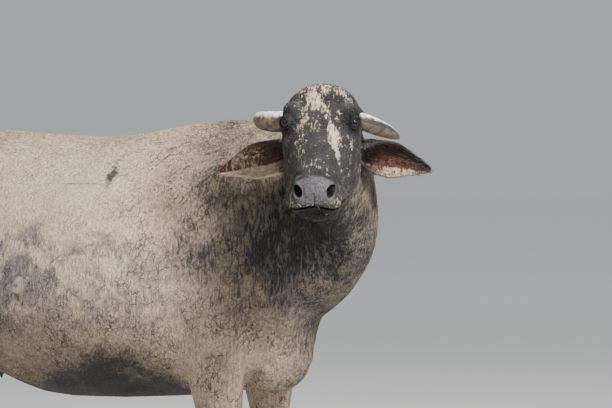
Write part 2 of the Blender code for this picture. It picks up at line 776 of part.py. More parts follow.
def horn(name, rows, side, frame, head, work, nodes):
    """A short flattened horn that sweeps out, back and down."""
    rows = smooth_rows(rows, 2)
    centres = [Vector((row[0], side * row[1], row[2])) for row in rows]
    rings = []
    for k, row in enumerate(rows):
        along = (centres[min(k + 1, len(rows) - 1)] - centres[max(k - 1, 0)]).normalized()
        broad = Vector((0.55, 0, 0.83))
        broad = (broad - along * broad.dot(along)).normalized()
        thin = along.cross(broad)
        rings.append([frame @ point for point in section(centres[k], broad, thin, row[3], row[4], row[4], points=12)])
    made = loft(name, rings, nodes)
    clear = grown(head, GAP, work)
    boolean(made, clear, "DIFFERENCE")
    bpy.data.objects.remove(clear)
    keep_largest(made)
    finish(made, name, "horn")
    return made


def eye(name, side, frame, head, work, nodes):
    """The ball in a socket that opens between the lids."""
    place = Vector((EYE_PLACE.x, side * EYE_PLACE.y, EYE_PLACE.z))
    look = Vector((0.60, side * 0.72, 0.22)).normalized()
    wide = Vector((0.74, -side * 0.66, -0.10))
    wide = (wide - look * wide.dot(look)).normalized()
    tall = look.cross(wide)
    turn = Matrix((wide, tall, look)).transposed().to_4x4()
    opening = frame @ Matrix.Translation(place) @ turn
    opening = opening @ Matrix.Translation((0, 0, EYE_RADIUS * 0.8)) @ Matrix.Diagonal((*LID_OPENING, 0.022, 1))
    for matrix, radius in ((frame @ Matrix.Translation(place), EYE_RADIUS + GAP), (opening, 1)):
        bm = bmesh.new()
        bmesh.ops.create_uvsphere(bm, u_segments=24, v_segments=16, radius=radius, matrix=matrix)
        bmesh.ops.recalc_face_normals(bm, faces=bm.faces)
        cutter = add_object(bm, "socket", work)
        boolean(head, cutter, "DIFFERENCE")
        bpy.data.objects.remove(cutter)
    bm = bmesh.new()
    bmesh.ops.create_uvsphere(
        bm, u_segments=16, v_segments=10, radius=EYE_RADIUS, matrix=frame @ Matrix.Translation(place) @ turn
    )
    made = add_object(bm, name, nodes)
    finish(made, name, "eye")
    return made


def lock(start, end, sway, width, thickness, collection):
    """A flat tapered lock that bends from start to end."""
    along = (end - start).normalized()
    side = along.cross(sway).normalized()
    flat = side.cross(along)
    rings = []
    for t in np.linspace(0, 1, 7):
        centre = start.lerp(end, t) + sway * math.sin(math.pi * t) * (1 - 0.3 * t)
        half = max(width * (1 - t**1.8), 0.0012)
        deep = max(thickness * (1 - t**1.8), 0.0009)
        rings.append([centre + side * half, centre + flat * deep, centre - side * half, centre - flat * deep])
    return loft("lock", rings, collection)


def tail_switch(nodes):
    """A core at the end of the tail with flat locks that hang and overlap down to their tips."""
    draw = np.random.default_rng(SWITCH_SEED)
    x = -0.852
    rings = [
        tail_ring(x, SWITCH_TOP - GAP, 0.0135),
        tail_ring(x, 0.53, 0.021),
        tail_ring(x + 0.001, 0.47, 0.024),
        tail_ring(x + 0.002, 0.41, 0.016),
        tail_ring(x + 0.003, 0.38, 0.006),
    ]
    core = loft("tail_switch", rings, nodes)
    locks = new_collection("locks", hidden=True)
    for k in range(SWITCH_LOCKS):
        angle = math.tau * (k * 0.382 + draw.uniform(-0.03, 0.03))
        out = Vector((math.cos(angle), math.sin(angle), 0))
        top = SWITCH_TOP - 0.030 - 0.090 * (k / SWITCH_LOCKS)
        start = Vector((x, 0, top)) + out * 0.008
        reach = draw.uniform(0.16, 0.22)
        end = Vector((x + 0.004, 0, top - reach)) + out * draw.uniform(0.010, 0.030)
        sway = out * draw.uniform(0.014, 0.022) + Vector((0, 0, 1)).cross(out) * draw.uniform(-0.006, 0.006)
        lock(start, end, sway, draw.uniform(0.007, 0.010), 0.0032, locks)
    join = core.modifiers.new("join", "BOOLEAN")
    join.operation = "UNION"
    join.operand_type = "COLLECTION"
    join.collection = locks
    join.solver = "MANIFOLD"
    apply_modifiers(core)
    for old in list(locks.objects):
        bpy.data.objects.remove(old)
    keep_largest(core)
    finish(core, "tail_switch", "hair")


def centre_on_floor(nodes):
    """Slides the finished animal so that the middle of its box stands over the origin."""
    everything = np.concatenate([points_of(obj) for obj in nodes.objects])
    middle = (everything.min(axis=0) + everything.max(axis=0)) / 2
    for obj in nodes.objects:
        set_points(obj, points_of(obj) - (middle[0], middle[1], 0))


def main():
    clear_scene()
    nodes = new_collection("water_buffalo")
    work = new_collection("cutters", hidden=True)
    frame = head_frame()
    torso = fused_flesh(work, frame)
    thin_out(torso, frame)

    neck = split_by_plane(torso, (0.530, 0, 1.02), (0.94, 0, 0.34), work)
    head = split_by_plane(neck, (0.770, -0.226, 1.253), (0.05, -0.90, 0.42), work)
    tail = split_by_plane(torso, (-0.829, 0, 1.09), (-1, 0, 0), work)
    legs = {name: part_leg(torso, name, work) for name in STEP}
    for obj in (torso, neck, head, tail):
        keep_largest(obj)

    switch_cut = slab_box("below", (-0.85, 0, SWITCH_TOP), (0, 0, -1), 1.0, work)
    boolean(tail, switch_cut, "DIFFERENCE")
    bpy.data.objects.remove(switch_cut)
    keep_largest(tail)
    tail_switch(nodes)

    for name, leg in legs.items():
        point, normal = coronet_plane(name)
        below = slab_box("below", point, -normal, 1.0, work)
        boolean(leg, below, "DIFFERENCE")
        bpy.data.objects.remove(below)
        keep_largest(leg)
        foot = name.replace("fore", "front_").replace("hind", "hind_").replace("leg", "foot")
        for inward, place in ((1, "right"), (-1, "left")):
            claw(f"{foot}_claw_{place}", name, inward, nodes)

    for side, word in ((1, "left"), (-1, "right")):
        eye(f"eye_{word}", side, frame, head, work, nodes)
        horn(f"horn_{word}", HORN_LEFT_ROWS if side > 0 else HORN_RIGHT_ROWS, side, frame, head, work, nodes)
        ear(f"ear_{word}", side, frame, (head, neck), work, nodes)
    keep_largest(head)

    flesh_nodes = {"torso": torso, "neck": neck, "head": head, "tail": tail, **legs}
    for name, obj in flesh_nodes.items():
        nodes.objects.link(obj)
        work.objects.unlink(obj)
        finish(obj, name, "skin")
    centre_on_floor(nodes)


main()
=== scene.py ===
"""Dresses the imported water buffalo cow: a hide, short coat, eyes, horns and hooves, in a plain studio."""

import math
from types import SimpleNamespace

import bmesh
import bpy
import numpy as np
from mathutils import Matrix, Vector


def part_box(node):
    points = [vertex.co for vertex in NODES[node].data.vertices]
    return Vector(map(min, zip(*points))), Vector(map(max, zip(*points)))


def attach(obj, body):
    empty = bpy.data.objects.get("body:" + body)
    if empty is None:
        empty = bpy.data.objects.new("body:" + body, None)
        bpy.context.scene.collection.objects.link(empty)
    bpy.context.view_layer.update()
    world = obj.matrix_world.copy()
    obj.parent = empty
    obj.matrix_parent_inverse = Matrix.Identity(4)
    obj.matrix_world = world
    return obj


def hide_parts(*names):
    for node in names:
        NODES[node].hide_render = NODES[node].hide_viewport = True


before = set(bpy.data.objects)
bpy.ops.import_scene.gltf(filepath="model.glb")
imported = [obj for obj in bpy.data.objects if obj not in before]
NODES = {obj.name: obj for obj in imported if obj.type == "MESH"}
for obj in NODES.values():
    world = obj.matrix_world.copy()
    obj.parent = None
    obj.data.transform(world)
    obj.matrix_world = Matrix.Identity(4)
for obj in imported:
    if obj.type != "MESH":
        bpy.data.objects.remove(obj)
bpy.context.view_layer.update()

# The camera that was matched with the photo
LENS = 173.0
SENSOR = 36.0
CAMERA_DISTANCE = 8.0
CAMERA_AZIMUTH = math.radians(24)
CAMERA_ELEVATION = math.radians(1.7)
CAMERA_AIM = Vector((0.626, -0.1036, 1.0836))

# The head's own frame: top of the poll, how far it is turned right, how far it nods
POLL = Vector((0.772, -0.322, 1.4105))
HEAD_TURN = math.radians(70)
HEAD_NOD = math.radians(30)
EYE_PLACE = Vector((0.148, 0.082, -0.036))
EYE_RADIUS = 0.020
LID_HALF_LENGTH = 0.0162
LID_RISE = 0.0116
LID_DROP = 0.0096

LEGS = ("foreleg_left", "foreleg_right", "hindleg_left", "hindleg_right")
FLESH = ("torso", "neck", "head", "tail", *LEGS)
EARS = ("ear_left", "ear_right")
CLAWS = tuple(sorted(name for name in NODES if "claw" in name))

# The hide
FUSE_GROWTH = 0.0004
EYE_SOCKET_WALL = 0.0030
HIDE_VOXEL = 0.005
WELD_DISTANCE = 0.00002
COAT_DEPTH = 0.0016
BODY_TRIANGLES = 42000
NECK_TRIANGLES = 26000
PLAIN_TRIANGLES = 106000

# Ear, in the head frame
EAR_BASE = Vector((0.045, 0.070, -0.178))
EAR_OUT = {1: Vector((-0.320, 0.820, -0.445)), -1: Vector((-0.240, 0.860, -0.425))}
EAR_OPENS = Vector((0.90, 0.38, 0.28))
EAR_LENGTH = 0.252
EAR_THICKNESS = 0.0052
EAR_COLUMNS = 36
# Share of the length, half width of the leaf, and how far round its cup curls
EAR_ROWS = [
    (0.00, 0.026, 165),
    (0.08, 0.032, 150),
    (0.16, 0.038, 128),
    (0.25, 0.042, 106),
    (0.35, 0.045, 86),
    (0.47, 0.047, 70),
    (0.57, 0.044, 58),
    (0.67, 0.038, 50),
    (0.77, 0.029, 42),
    (0.87, 0.020, 36),
    (0.95, 0.012, 30),
    (1.00, 0.005, 24),
]

# Horns, in the head frame: along the nose, out to the side, up, half width across and thickness
HORN_ROWS = {
    1: [
        (0.060, 0.070, -0.072, 0.030, 0.021),
        (0.052, 0.108, -0.090, 0.028, 0.020),
        (0.026, 0.138, -0.120, 0.025, 0.017),
        (-0.012, 0.162, -0.155, 0.020, 0.014),
        (-0.048, 0.180, -0.188, 0.013, 0.010),
        (-0.076, 0.192, -0.214, 0.005, 0.004),
    ],
    -1: [
        (0.058, 0.070, -0.084, 0.034, 0.027),
        (0.050, 0.104, -0.090, 0.033, 0.026),
        (0.032, 0.138, -0.100, 0.031, 0.025),
        (0.000, 0.163, -0.117, 0.027, 0.021),
        (-0.038, 0.176, -0.138, 0.020, 0.015),
        (-0.074, 0.178, -0.158, 0.008, 0.007),
    ],
}


def head_frame():
    """Columns: along the nose, to her left, and up from the face."""
    ahead = Vector((math.cos(HEAD_TURN), -math.sin(HEAD_TURN), 0))
    nose = ahead * math.cos(HEAD_NOD) - Vector((0, 0, math.sin(HEAD_NOD)))
    up = ahead * math.sin(HEAD_NOD) + Vector((0, 0, math.cos(HEAD_NOD)))
    made = Matrix((nose, up.cross(nose), up)).transposed().to_4x4()
    made.translation = POLL
    return made


def centring_shift():
    """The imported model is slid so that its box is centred. The eyes show how far."""
    found = Vector((0, 0, 0))
    for name in ("eye_left", "eye_right"):
        low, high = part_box(name)
        found += (low + high) / 4
    shift = found - head_frame() @ Vector((EYE_PLACE.x, 0, EYE_PLACE.z))
    shift.z = 0
    return shift


SHIFT = centring_shift()
HEAD = Matrix.Translation(SHIFT) @ head_frame()
HEAD_BACK = np.array(HEAD.inverted())
HEAD_THERE = np.array(HEAD)


# Small tools


def to_head(points):
    return points @ HEAD_BACK[:3, :3].T + HEAD_BACK[:3, 3]


def from_head(points):
    return points @ HEAD_THERE[:3, :3].T + HEAD_THERE[:3, 3]


def to_body(points):
    return points - np.array(SHIFT)


def from_body(points):
    return points + np.array(SHIFT)


def head_line(*places):
    """A line given in the head frame, in body coordinates."""
    return [tuple(point) for point in to_body(from_head(np.array(places, float)))]


def toward(azimuth, elevation):
    """The direction from the model to a viewer or lamp at these angles."""
    flat = math.cos(elevation)
    return Vector((math.sin(azimuth) * flat, -math.cos(azimuth) * flat, math.sin(elevation)))


def deselect():
    for obj in bpy.context.selected_objects:
        obj.select_set(False)


def show(data, name):
    made = bpy.data.objects.new(name, data)
    bpy.context.scene.collection.objects.link(made)
    return made


def mesh_of(name, points, faces):
    """A mesh from arrays of points and of faces that all have the same number of corners."""
    points = np.asarray(points, np.float32)
    faces = np.asarray(faces, np.int32)
    mesh = bpy.data.meshes.new(name)
    mesh.vertices.add(len(points))
    mesh.vertices.foreach_set("co", points.ravel())
    mesh.loops.add(faces.size)
    mesh.loops.foreach_set("vertex_index", faces.ravel())
    mesh.polygons.add(len(faces))
    mesh.polygons.foreach_set("loop_start", np.arange(len(faces), dtype=np.int32) * faces.shape[1])
    mesh.update(calc_edges=True)
    mesh.validate()
    return mesh


def points_of(obj):
    flat = np.empty(len(obj.data.vertices) * 3, np.float32)
    obj.data.vertices.foreach_get("co", flat)
    return flat.reshape(-1, 3).astype(float)


def normals_of(obj):
    flat = np.empty(len(obj.data.vertices) * 3, np.float32)
    obj.data.vertex_normals.foreach_get("vector", flat)
    return flat.reshape(-1, 3).astype(float)


def set_points(obj, points):
    obj.data.vertices.foreach_set("co", points.astype(np.float32).ravel())
    obj.data.update()


def apply_modifiers(obj):
    graph = bpy.context.evaluated_depsgraph_get()
    mesh = bpy.data.meshes.new_from_object(obj.evaluated_get(graph))
    old = obj.data
    obj.modifiers.clear()
    obj.data = mesh
    bpy.data.meshes.remove(old)


def add_bevel(obj, width, segments, angle):
    soften = obj.modifiers.new("soften", "BEVEL")
    soften.width = width
    soften.segments = segments
    soften.limit_method = "ANGLE"
    soften.angle_limit = math.radians(angle)


def add_weld(obj):
    weld = obj.modifiers.new("weld", "WELD")
    weld.merge_threshold = WELD_DISTANCE


def finish_with(obj, finish):
    obj.data.shade_smooth()
    obj.data.materials.clear()
    obj.data.materials.append(finish)


def corners_of(mesh):
    """The three points of each of the mesh's triangles."""
    mesh.calc_loop_triangles()
    corners = np.empty(len(mesh.loop_triangles) * 3, np.int32)
    mesh.loop_triangles.foreach_get("vertices", corners)
    return corners.reshape(-1, 3)


def weigh(obj, name, weights):
    """A vertex group with a weight for every vertex, in steps of a tenth."""
    group = obj.vertex_groups.new(name=name)
    tenths = np.round(weights * 10).astype(int)
    for tenth in range(1, 11):
        group.add(np.flatnonzero(tenths == tenth).tolist(), tenth / 10, "REPLACE")


def smooth(obj, weights, iterations, factor=0.5):
    weigh(obj, "soft", weights)
    ease = obj.modifiers.new("ease", "SMOOTH")
    ease.factor = factor
    ease.iterations = iterations
    ease.vertex_group = "soft"
    apply_modifiers(obj)
    obj.vertex_groups.clear()


def fade(distance, near, far):
    """1 up to near, 0 past far, and smooth between."""
    t = np.clip((distance - near) / (far - near), 0, 1)
    return 1 - t * t * (3 - 2 * t)


def bell(distance, middle, width):
    """1 at the middle, and less on both sides of it."""
    return np.exp(-(((distance - middle) / width) ** 2))


def push(points, normals, amount):
    """Moves the points along their normals, in place."""
    points += normals * amount[:, None]


def near_line(points, line):
    """Each point's distance from a polyline."""
    best = np.full(len(points), np.inf)
    for a, b in zip(line, line[1:]):
        a, b = np.array(a), np.array(b)
        t = np.clip((points - a) @ (b - a) / ((b - a) @ (b - a)), 0, 1)
        best = np.minimum(best, np.linalg.norm(points - (a + t[:, None] * (b - a)), axis=1))
    return best


def ripple(points, wavelength, seed, count=14):
    """A smooth random field between about -1 and 1, from waves of near that length."""
    draw = np.random.default_rng(seed)
    total = np.zeros(len(points))
    for _ in range(count):
        way = draw.normal(size=3)
        way /= np.linalg.norm(way)
        length = wavelength * draw.uniform(0.6, 1.6)
        total += np.sin(points @ way * (math.tau / length) + draw.uniform(0, math.tau))
    return total / math.sqrt(count)


def smooth_rows(rows, steps):
    """The rows with Catmull-Rom steps between them."""
    rows = np.array(rows, float)
    ends = [2 * rows[0] - rows[1], *rows, 2 * rows[-1] - rows[-2]]
    made = []
    for a, b, c, d in zip(ends, ends[1:], ends[2:], ends[3:]):
        for t in np.arange(steps) / steps:
            bend = (c - a) * t + (2 * a - 5 * b + 4 * c - d) * t**2 + (3 * b - a - 3 * c + d) * t**3
            made.append(b + bend / 2)
    return [*made, rows[-1]]


def mirrored(place, side):
    return np.array((place[0], side * place[1], place[2]))


# The hide: the flesh nodes fused into one skin, thinned where it is plain, and worked finer on the head


def fused_flesh():
    """The flesh nodes as one closed form. Each is grown a little, so that no cut between them shows."""
    whole = bmesh.new()
    for name in FLESH:
        part = bmesh.new()
        part.from_mesh(NODES[name].data)
        bmesh.ops.remove_doubles(part, verts=part.verts, dist=WELD_DISTANCE)
        part.normal_update()
        for vert in part.verts:
            vert.co += vert.normal * FUSE_GROWTH
        grown = bpy.data.meshes.new("grown")
        part.to_mesh(grown)
        part.free()
        whole.from_mesh(grown)
        bpy.data.meshes.remove(grown)
    for side in (-1, 1):
        place = HEAD @ Vector(mirrored(EYE_PLACE, side))
        bmesh.ops.create_uvsphere(
            whole,
            u_segments=32,
            v_segments=20,
            radius=EYE_RADIUS + EYE_SOCKET_WALL,
            matrix=Matrix.Translation(place),
        )
    mesh = bpy.data.meshes.new("hide")
    whole.to_mesh(mesh)
    whole.free()
    hide = show(mesh, "hide")
    fuse = hide.modifiers.new("fuse", "REMESH")
    fuse.mode = "VOXEL"
    fuse.voxel_size = HIDE_VOXEL
    apply_modifiers(hide)
    return hide


def on_head(points, near=0.118, far=0.150):
    """1 on the head and 0 away from it."""
    local = to_head(points)
    return fade(near_line(local, [(0.03, 0, -0.09), (0.43, 0, -0.10)]), near, far)


def on_limbs(points):
    x, _, z = to_body(points).T
    return np.maximum(fade(z, 0.50, 0.62), fade(x, -0.84, -0.80))


def on_neck(points):
    body = to_body(points)
    line = [(0.40, 0, 1.00), (0.60, 0, 0.98), (0.74, -0.16, 1.12), (0.78, -0.34, 1.24)]
    return fade(near_line(body, line), 0.20, 0.36)


def thin_part(hide, chosen, triangles):
    """About this many triangles left on the chosen vertices, most of them where the form bends."""
    weigh(hide, "chosen", chosen.astype(float))
    inside = chosen[corners_of(hide.data)].any(axis=1)
    thin = hide.modifiers.new("thin", "DECIMATE")
    thin.ratio = (triangles + (~inside).sum()) / len(inside)
    thin.vertex_group = "chosen"
    thin.use_collapse_triangulate = True
    apply_modifiers(hide)
    hide.vertex_groups.clear()


def thin_out(hide):
    """Fewer triangles on the body and neck, where the forms are broad."""
    for is_neck, triangles in ((False, BODY_TRIANGLES), (True, NECK_TRIANGLES)):
        points = points_of(hide)
        head = on_head(points, 0.14, 0.16) > 0.3
        neck = on_neck(points) > 0.4
        thin_part(hide, (neck == is_neck) & ~head, triangles)


def split_finer(hide, wanted):
    """Cuts every edge in half where wanted(points) is true."""
    chosen = wanted(points_of(hide))
    bm = bmesh.new()
    bm.from_mesh(hide.data)
    bm.verts.ensure_lookup_table()
    edges = [edge for edge in bm.edges if chosen[edge.verts[0].index] and chosen[edge.verts[1].index]]
    bmesh.ops.subdivide_edges(bm, edges=edges, cuts=1, use_grid_fill=True)
    bmesh.ops.triangulate(bm, faces=[face for face in bm.faces if len(face.verts) > 3])
    bm.to_mesh(hide.data)
    bm.free()


def fine_places(points):
    """Round the eyes, and the muzzle with the mouth."""
    local = to_head(points)
    chosen = near_line(local, [(0.425, -0.03, -0.10), (0.425, 0.03, -0.10)]) < 0.057
    for side in (-1, 1):
        chosen |= np.linalg.norm(local - mirrored(EYE_PLACE, side), axis=1) < 0.036
    return chosen


MOUTH_HEIGHT = -0.1020
MOUTH_DROP = 0.0170
MOUTH_CORNER = 0.345
NOSTRIL = (0.440, 0.041, -0.069)
NOSTRIL_HALF_WIDTH = 0.0112
NOSTRIL_HALF_HEIGHT = 0.0125
NOSTRIL_TURN = 0.5
NOSTRIL_SQUEEZE = 1.05
MUZZLE_BACK = 0.385
FAR_OFF = 9.0


def above_mouth(local):
    """How far each point lies over the parting of the lips, which bows down to both corners."""
    a, s, u = local.T
    bow = MOUTH_DROP * (np.abs(s) / 0.070) ** 1.5
    return u - (MOUTH_HEIGHT - bow - 0.18 * np.clip(0.405 - a, 0, 0.1))


def at_mouth(local):
    """1 where the parting runs, and 0 behind its corners."""
    ahead = fade(-local[:, 0], -MOUTH_CORNER - 0.012, -MOUTH_CORNER)
    return ahead * fade(np.abs(local[:, 1]), 0.09, 0.10)


def nostril_reach(local, side):
    """0 at the middle of a nostril, 1 at its rim, in the plane across the end of the muzzle."""
    out = (local[:, 1] * side - NOSTRIL[1]) / NOSTRIL_HALF_WIDTH
    up = (local[:, 2] - NOSTRIL[2]) / NOSTRIL_HALF_HEIGHT
    sine, cosine = math.sin(NOSTRIL_TURN), math.cos(NOSTRIL_TURN)
    reach = np.hypot(out * cosine - up * sine, (out * sine + up * cosine) * NOSTRIL_SQUEEZE)
    return np.where(local[:, 0] > MUZZLE_BACK, reach, FAR_OFF)


def facing_axes(look, wide):
    """Rows: across, up, and the way it looks, in the head frame."""
    look = look.normalized()
    wide = (wide - look * wide.dot(look)).normalized()
    up = look.cross(wide)
    return np.array((wide, up if up.z > 0 else -up, look))


def eye_axes(side):
    """The axes of the opening of the lids."""
    return facing_axes(Vector((0.60, side * 0.72, 0.22)), Vector((0.74, -side * 0.66, -0.10)))


def lid_gap(local, side):
    """How far inside the opening of the lids each point lies, and how far from the eye's middle.

    It is seen from that middle, and less than 0 outside the opening.
    """
    away = (local - mirrored(EYE_PLACE, side)) @ eye_axes(side).T
    reach = np.linalg.norm(away, axis=1)
    across, up = (away[:, :2] / reach[:, None] * EYE_RADIUS).T
    share = np.clip(1 - np.abs(across / LID_HALF_LENGTH) ** 2.1, -4, 1)
    gap = np.minimum(LID_RISE * share - up, up + LID_DROP * share)
    return np.where(away[:, 2] > 0, gap, -1.0), reach


LID_EDGE = 0.0006
LID_THICKNESS = 0.0026
# Folds round the lids: height, how far outside the opening, and width
LID_FOLDS = [(-0.0022, 0.0085, 0.0014), (0.0012, 0.0110, 0.0016), (-0.0016, 0.0140, 0.0013)]
TEAR_CORNER = (0.172, 0.067, -0.034)


def carve_eye(local, side):
    """Lids that lie on the ball, with a crease over them and folds round them."""
    gap, reach = lid_gap(local, side)
    out = -gap
    lid = EYE_RADIUS + LID_EDGE + LID_THICKNESS * np.clip((out + 0.0004) / 0.0020, 0, 1) ** 0.6
    lid += 0.0018 * fade(out, 0.003, 0.012)
    for height, place, width in LID_FOLDS:
        lid += height * bell(out, place, width)
    lid = np.where(gap > 0.0004, EYE_RADIUS - 0.0050, lid)
    hold = np.where(gap > 0, 1.0, fade(out, 0.0075, 0.0175)) * (reach < 0.047)
    ray = (local - mirrored(EYE_PLACE, side)) / np.maximum(reach, 1e-6)[:, None]
    push(local, ray, (lid - reach) * hold)
    # The tear corner, where the lids run on toward the nose
    corner = mirrored(TEAR_CORNER, side)
    local[:, 2] -= 0.0018 * fade(np.linalg.norm(local - corner, axis=1), 0.001, 0.008)


NOSTRIL_SLIT = [(0.428, 0.053, -0.062), (0.408, 0.060, -0.058)]


def carve_nostril(local, normals, side):
    """A nostril with a raised rim, and the slit that runs back from its outer side."""
    reach = nostril_reach(local, side)
    push(local, normals, 0.0026 * bell(reach, 1.28, 0.20))
    local += fade(reach, 0.72, 1.05)[:, None] * np.array((-0.019, -side * 0.006, 0.004))
    slit = near_line(local, [mirrored(place, side) for place in NOSTRIL_SLIT])
    push(local, normals, -0.004 * fade(slit, 0.001, 0.005))


def carve_muzzle(local, normals):
    """The parting of the lips, the nostrils and the groove between them."""
    over = above_mouth(local)
    here = at_mouth(local)
    # The muzzle is a little wider at the lips than the fused form has it
    wide = fade(np.abs(over + 0.004), 0.010, 0.040)
    wide *= fade(np.abs(local[:, 0] - 0.405), 0.030, 0.070)
    local[:, 1] += np.sign(local[:, 1]) * 0.0050 * wide * fade(-np.abs(local[:, 1]), -0.05, -0.02)
    # Upper lip overhangs, lower lip is drawn back, and both roll toward the parting
    push(local, normals, 0.0030 * here * bell(over, 0.0075, 0.0060))
    back = here * np.where(over < 0, fade(-over, 0.014, 0.045), 0)
    local[:, 0] -= 0.0075 * back * fade(-local[:, 0], -0.42, -0.38)
    push(local, normals, 0.0022 * here * bell(over, -0.0085, 0.0035))
    push(local, normals, -0.0100 * fade(np.abs(over + 0.0016), 0.0010, 0.0044) * here)
    for side in (-1, 1):
        carve_nostril(local, normals, side)
    groove = fade(np.abs(local[:, 1]), 0.0006, 0.0045) * (local[:, 0] > 0.42)
    groove *= fade(np.abs(local[:, 2] + 0.084), 0.014, 0.022)
    local[:, 0] -= 0.0026 * groove


def groove_line(points, normals, line, depth, width, lip):
    """Presses a line into the surface, with a lip raised beside it."""
    away = near_line(points, line)
    push(points, normals, -depth * fade(away, 0, width))
    push(points, normals, lip * bell(away, width * 1.5, width * 0.7))


# Lines pressed into her left face, in the head frame: points, depth, width and the lip beside the line
HEAD_GROOVES = [
    # Hollow over the eye
    ([(0.075, 0.092, -0.030), (0.098, 0.095, -0.040), (0.118, 0.098, -0.055)], 0.0035, 0.016, 0.0),
    # Under the cheekbone
    ([(0.185, 0.088, -0.045), (0.230, 0.082, -0.062), (0.290, 0.070, -0.085)], 0.0022, 0.009, 0.0012),
    # Corner of the mouth
    ([(0.345, 0.072, -0.118), (0.360, 0.074, -0.136), (0.352, 0.072, -0.158)], 0.0030, 0.008, 0.0015),
    # Behind the nostril
    ([(0.395, 0.036, -0.040), (0.372, 0.050, -0.060), (0.366, 0.062, -0.090)], 0.0020, 0.009, 0.0010),
]


def carve_head(hide):
    local = to_head(points_of(hide))
    normals = normals_of(hide) @ HEAD_THERE[:3, :3]
    for side in (-1, 1):
        carve_eye(local, side)
        for line, depth, width, lip in HEAD_GROOVES:
            groove_line(local, normals, [mirrored(place, side) for place in line], depth, width, lip)
    carve_muzzle(local, normals)
    set_points(hide, from_head(local))


# Folds of the body's skin, in body coordinates: sides, points, and depth, width and the lip beside the fold
BODY_FOLDS = [
    # Creases between the forearms and the breast
    (
        (-1, 1),
        [(0.430, 0.060, 0.575), (0.470, 0.105, 0.612), (0.520, 0.105, 0.645), (0.575, 0.060, 0.680)],
        (0.010, 0.016, 0.003),
    ),
    # Behind the elbows
    ((-1, 1), [(0.285, 0.235, 0.690), (0.262, 0.250, 0.760), (0.262, 0.262, 0.840)], (0.006, 0.022, 0.002)),
    # Folds across the inside of the bent neck, from the shoulder forward
    (
        (-1,),
        [(0.560, 0.175, 0.800), (0.600, 0.165, 0.900), (0.625, 0.170, 1.010), (0.640, 0.160, 1.120)],
        (0.005, 0.014, 0.003),
    ),
    (
        (-1,),
        [(0.600, 0.140, 0.810), (0.650, 0.150, 0.900), (0.665, 0.175, 1.000), (0.670, 0.190, 1.100)],
        (0.005, 0.012, 0.003),
    ),
    (
        (-1,),
        [(0.650, 0.110, 0.830), (0.695, 0.150, 0.915), (0.700, 0.195, 1.010), (0.700, 0.215, 1.100)],
        (0.004, 0.010, 0.003),
    ),
    ((-1,), [(0.690, 0.090, 0.860), (0.735, 0.130, 0.940), (0.740, 0.190, 1.020)], (0.004, 0.009, 0.002)),
]
MILK_VEIN = [
    (-0.360, -0.135, 0.622),
    (-0.299, -0.153, 0.608),
    (-0.151, -0.194, 0.586),
    (-0.043, -0.190, 0.572),
    (0.058, -0.172, 0.563),
    (0.171, -0.148, 0.560),
]


def fold_body(hide):
    """Folds, the milk vein along the belly, and the fine wrinkles that cross the neck."""
    body = to_body(points_of(hide))
    normals = normals_of(hide)
    for sides, line, sizes in BODY_FOLDS:
        for side in sides:
            groove_line(body, normals, [mirrored(place, side) for place in line], *sizes)
    for side in (1, -1):
        away = near_line(body, [mirrored(place, side) for place in MILK_VEIN])
        push(body, normals, 0.0070 * fade(away, 0.002, 0.018))
        push(body, normals, -0.0030 * bell(away, 0.026, 0.009))
    # Wrinkles run down the neck, so the field is stretched in height
    wrinkle = 1 - np.abs(ripple(body * (1, 1, 0.22), 0.036, 3)) * 1.6
    placed = from_body(body)
    amount = on_neck(placed) * (1 - on_head(placed)) * fade(body[:, 2], 1.16, 1.28)
    push(body, normals, 0.0016 * np.clip(wrinkle, -1, 1) * amount)
    placed = from_body(body)
    broad = ripple(body, 0.30, 8) * 0.0022 * (1 - on_head(placed)) * (1 - on_limbs(placed))
    push(body, normals, broad)
    set_points(hide, from_body(body))


def ear_leaf(side):
    """Rows of points over a cupped leaf, from its rolled root to its tip, in the head frame."""
    out = EAR_OUT[side].normalized()
    opens = (EAR_OPENS - out * EAR_OPENS.dot(out)).normalized()
    across = out.cross(opens)
    rows = []
    for t, half, curl in smooth_rows(EAR_ROWS, 5):
        curl = math.radians(curl)
        radius = half / math.sin(min(curl, math.pi / 2))
        centre = EAR_BASE + out * (EAR_LENGTH * t)
        row = []
        for c in range(EAR_COLUMNS + 1):
            share = 2 * c / EAR_COLUMNS - 1
            # The rim waves a little, and ridges of gristle run up the inside
            angle = share * curl * (1 + 0.035 * math.sin(19 * t + 3 * share) * t * (1 - t) * 4)
            ridge = 0.0016 * math.cos(share * 15) * math.sin(math.pi * min(1, t * 1.3)) * (1 - share * share)
            deep = radius * (1 - math.cos(angle)) - half * 0.7 + ridge
            point = centre + across * (radius * math.sin(angle)) + opens * deep
            row.append(Vector((point.x, side * point.y, point.z)))
        rows.append(row)
    return rows


def ear_shell(side):
    """One ear as a closed thin leaf that is thickest at its root."""
    bm = bmesh.new()
    grid = [[bm.verts.new(HEAD @ point) for point in row] for row in ear_leaf(side)]
    for low, high in zip(grid, grid[1:]):
        for k in range(EAR_COLUMNS):
            corners = (low[k], low[k + 1], high[k + 1], high[k])
            bm.faces.new(corners if side < 0 else corners[::-1])
    mesh = bpy.data.meshes.new("ear_shell")
    bm.to_mesh(mesh)
    bm.free()
    ear = show(mesh, "ear_shell")
    wall = ear.modifiers.new("wall", "SOLIDIFY")
    wall.thickness = EAR_THICKNESS
    wall.offset = 0
    add_bevel(ear, 0.0016, 2, 50)
    apply_modifiers(ear)
    return ear


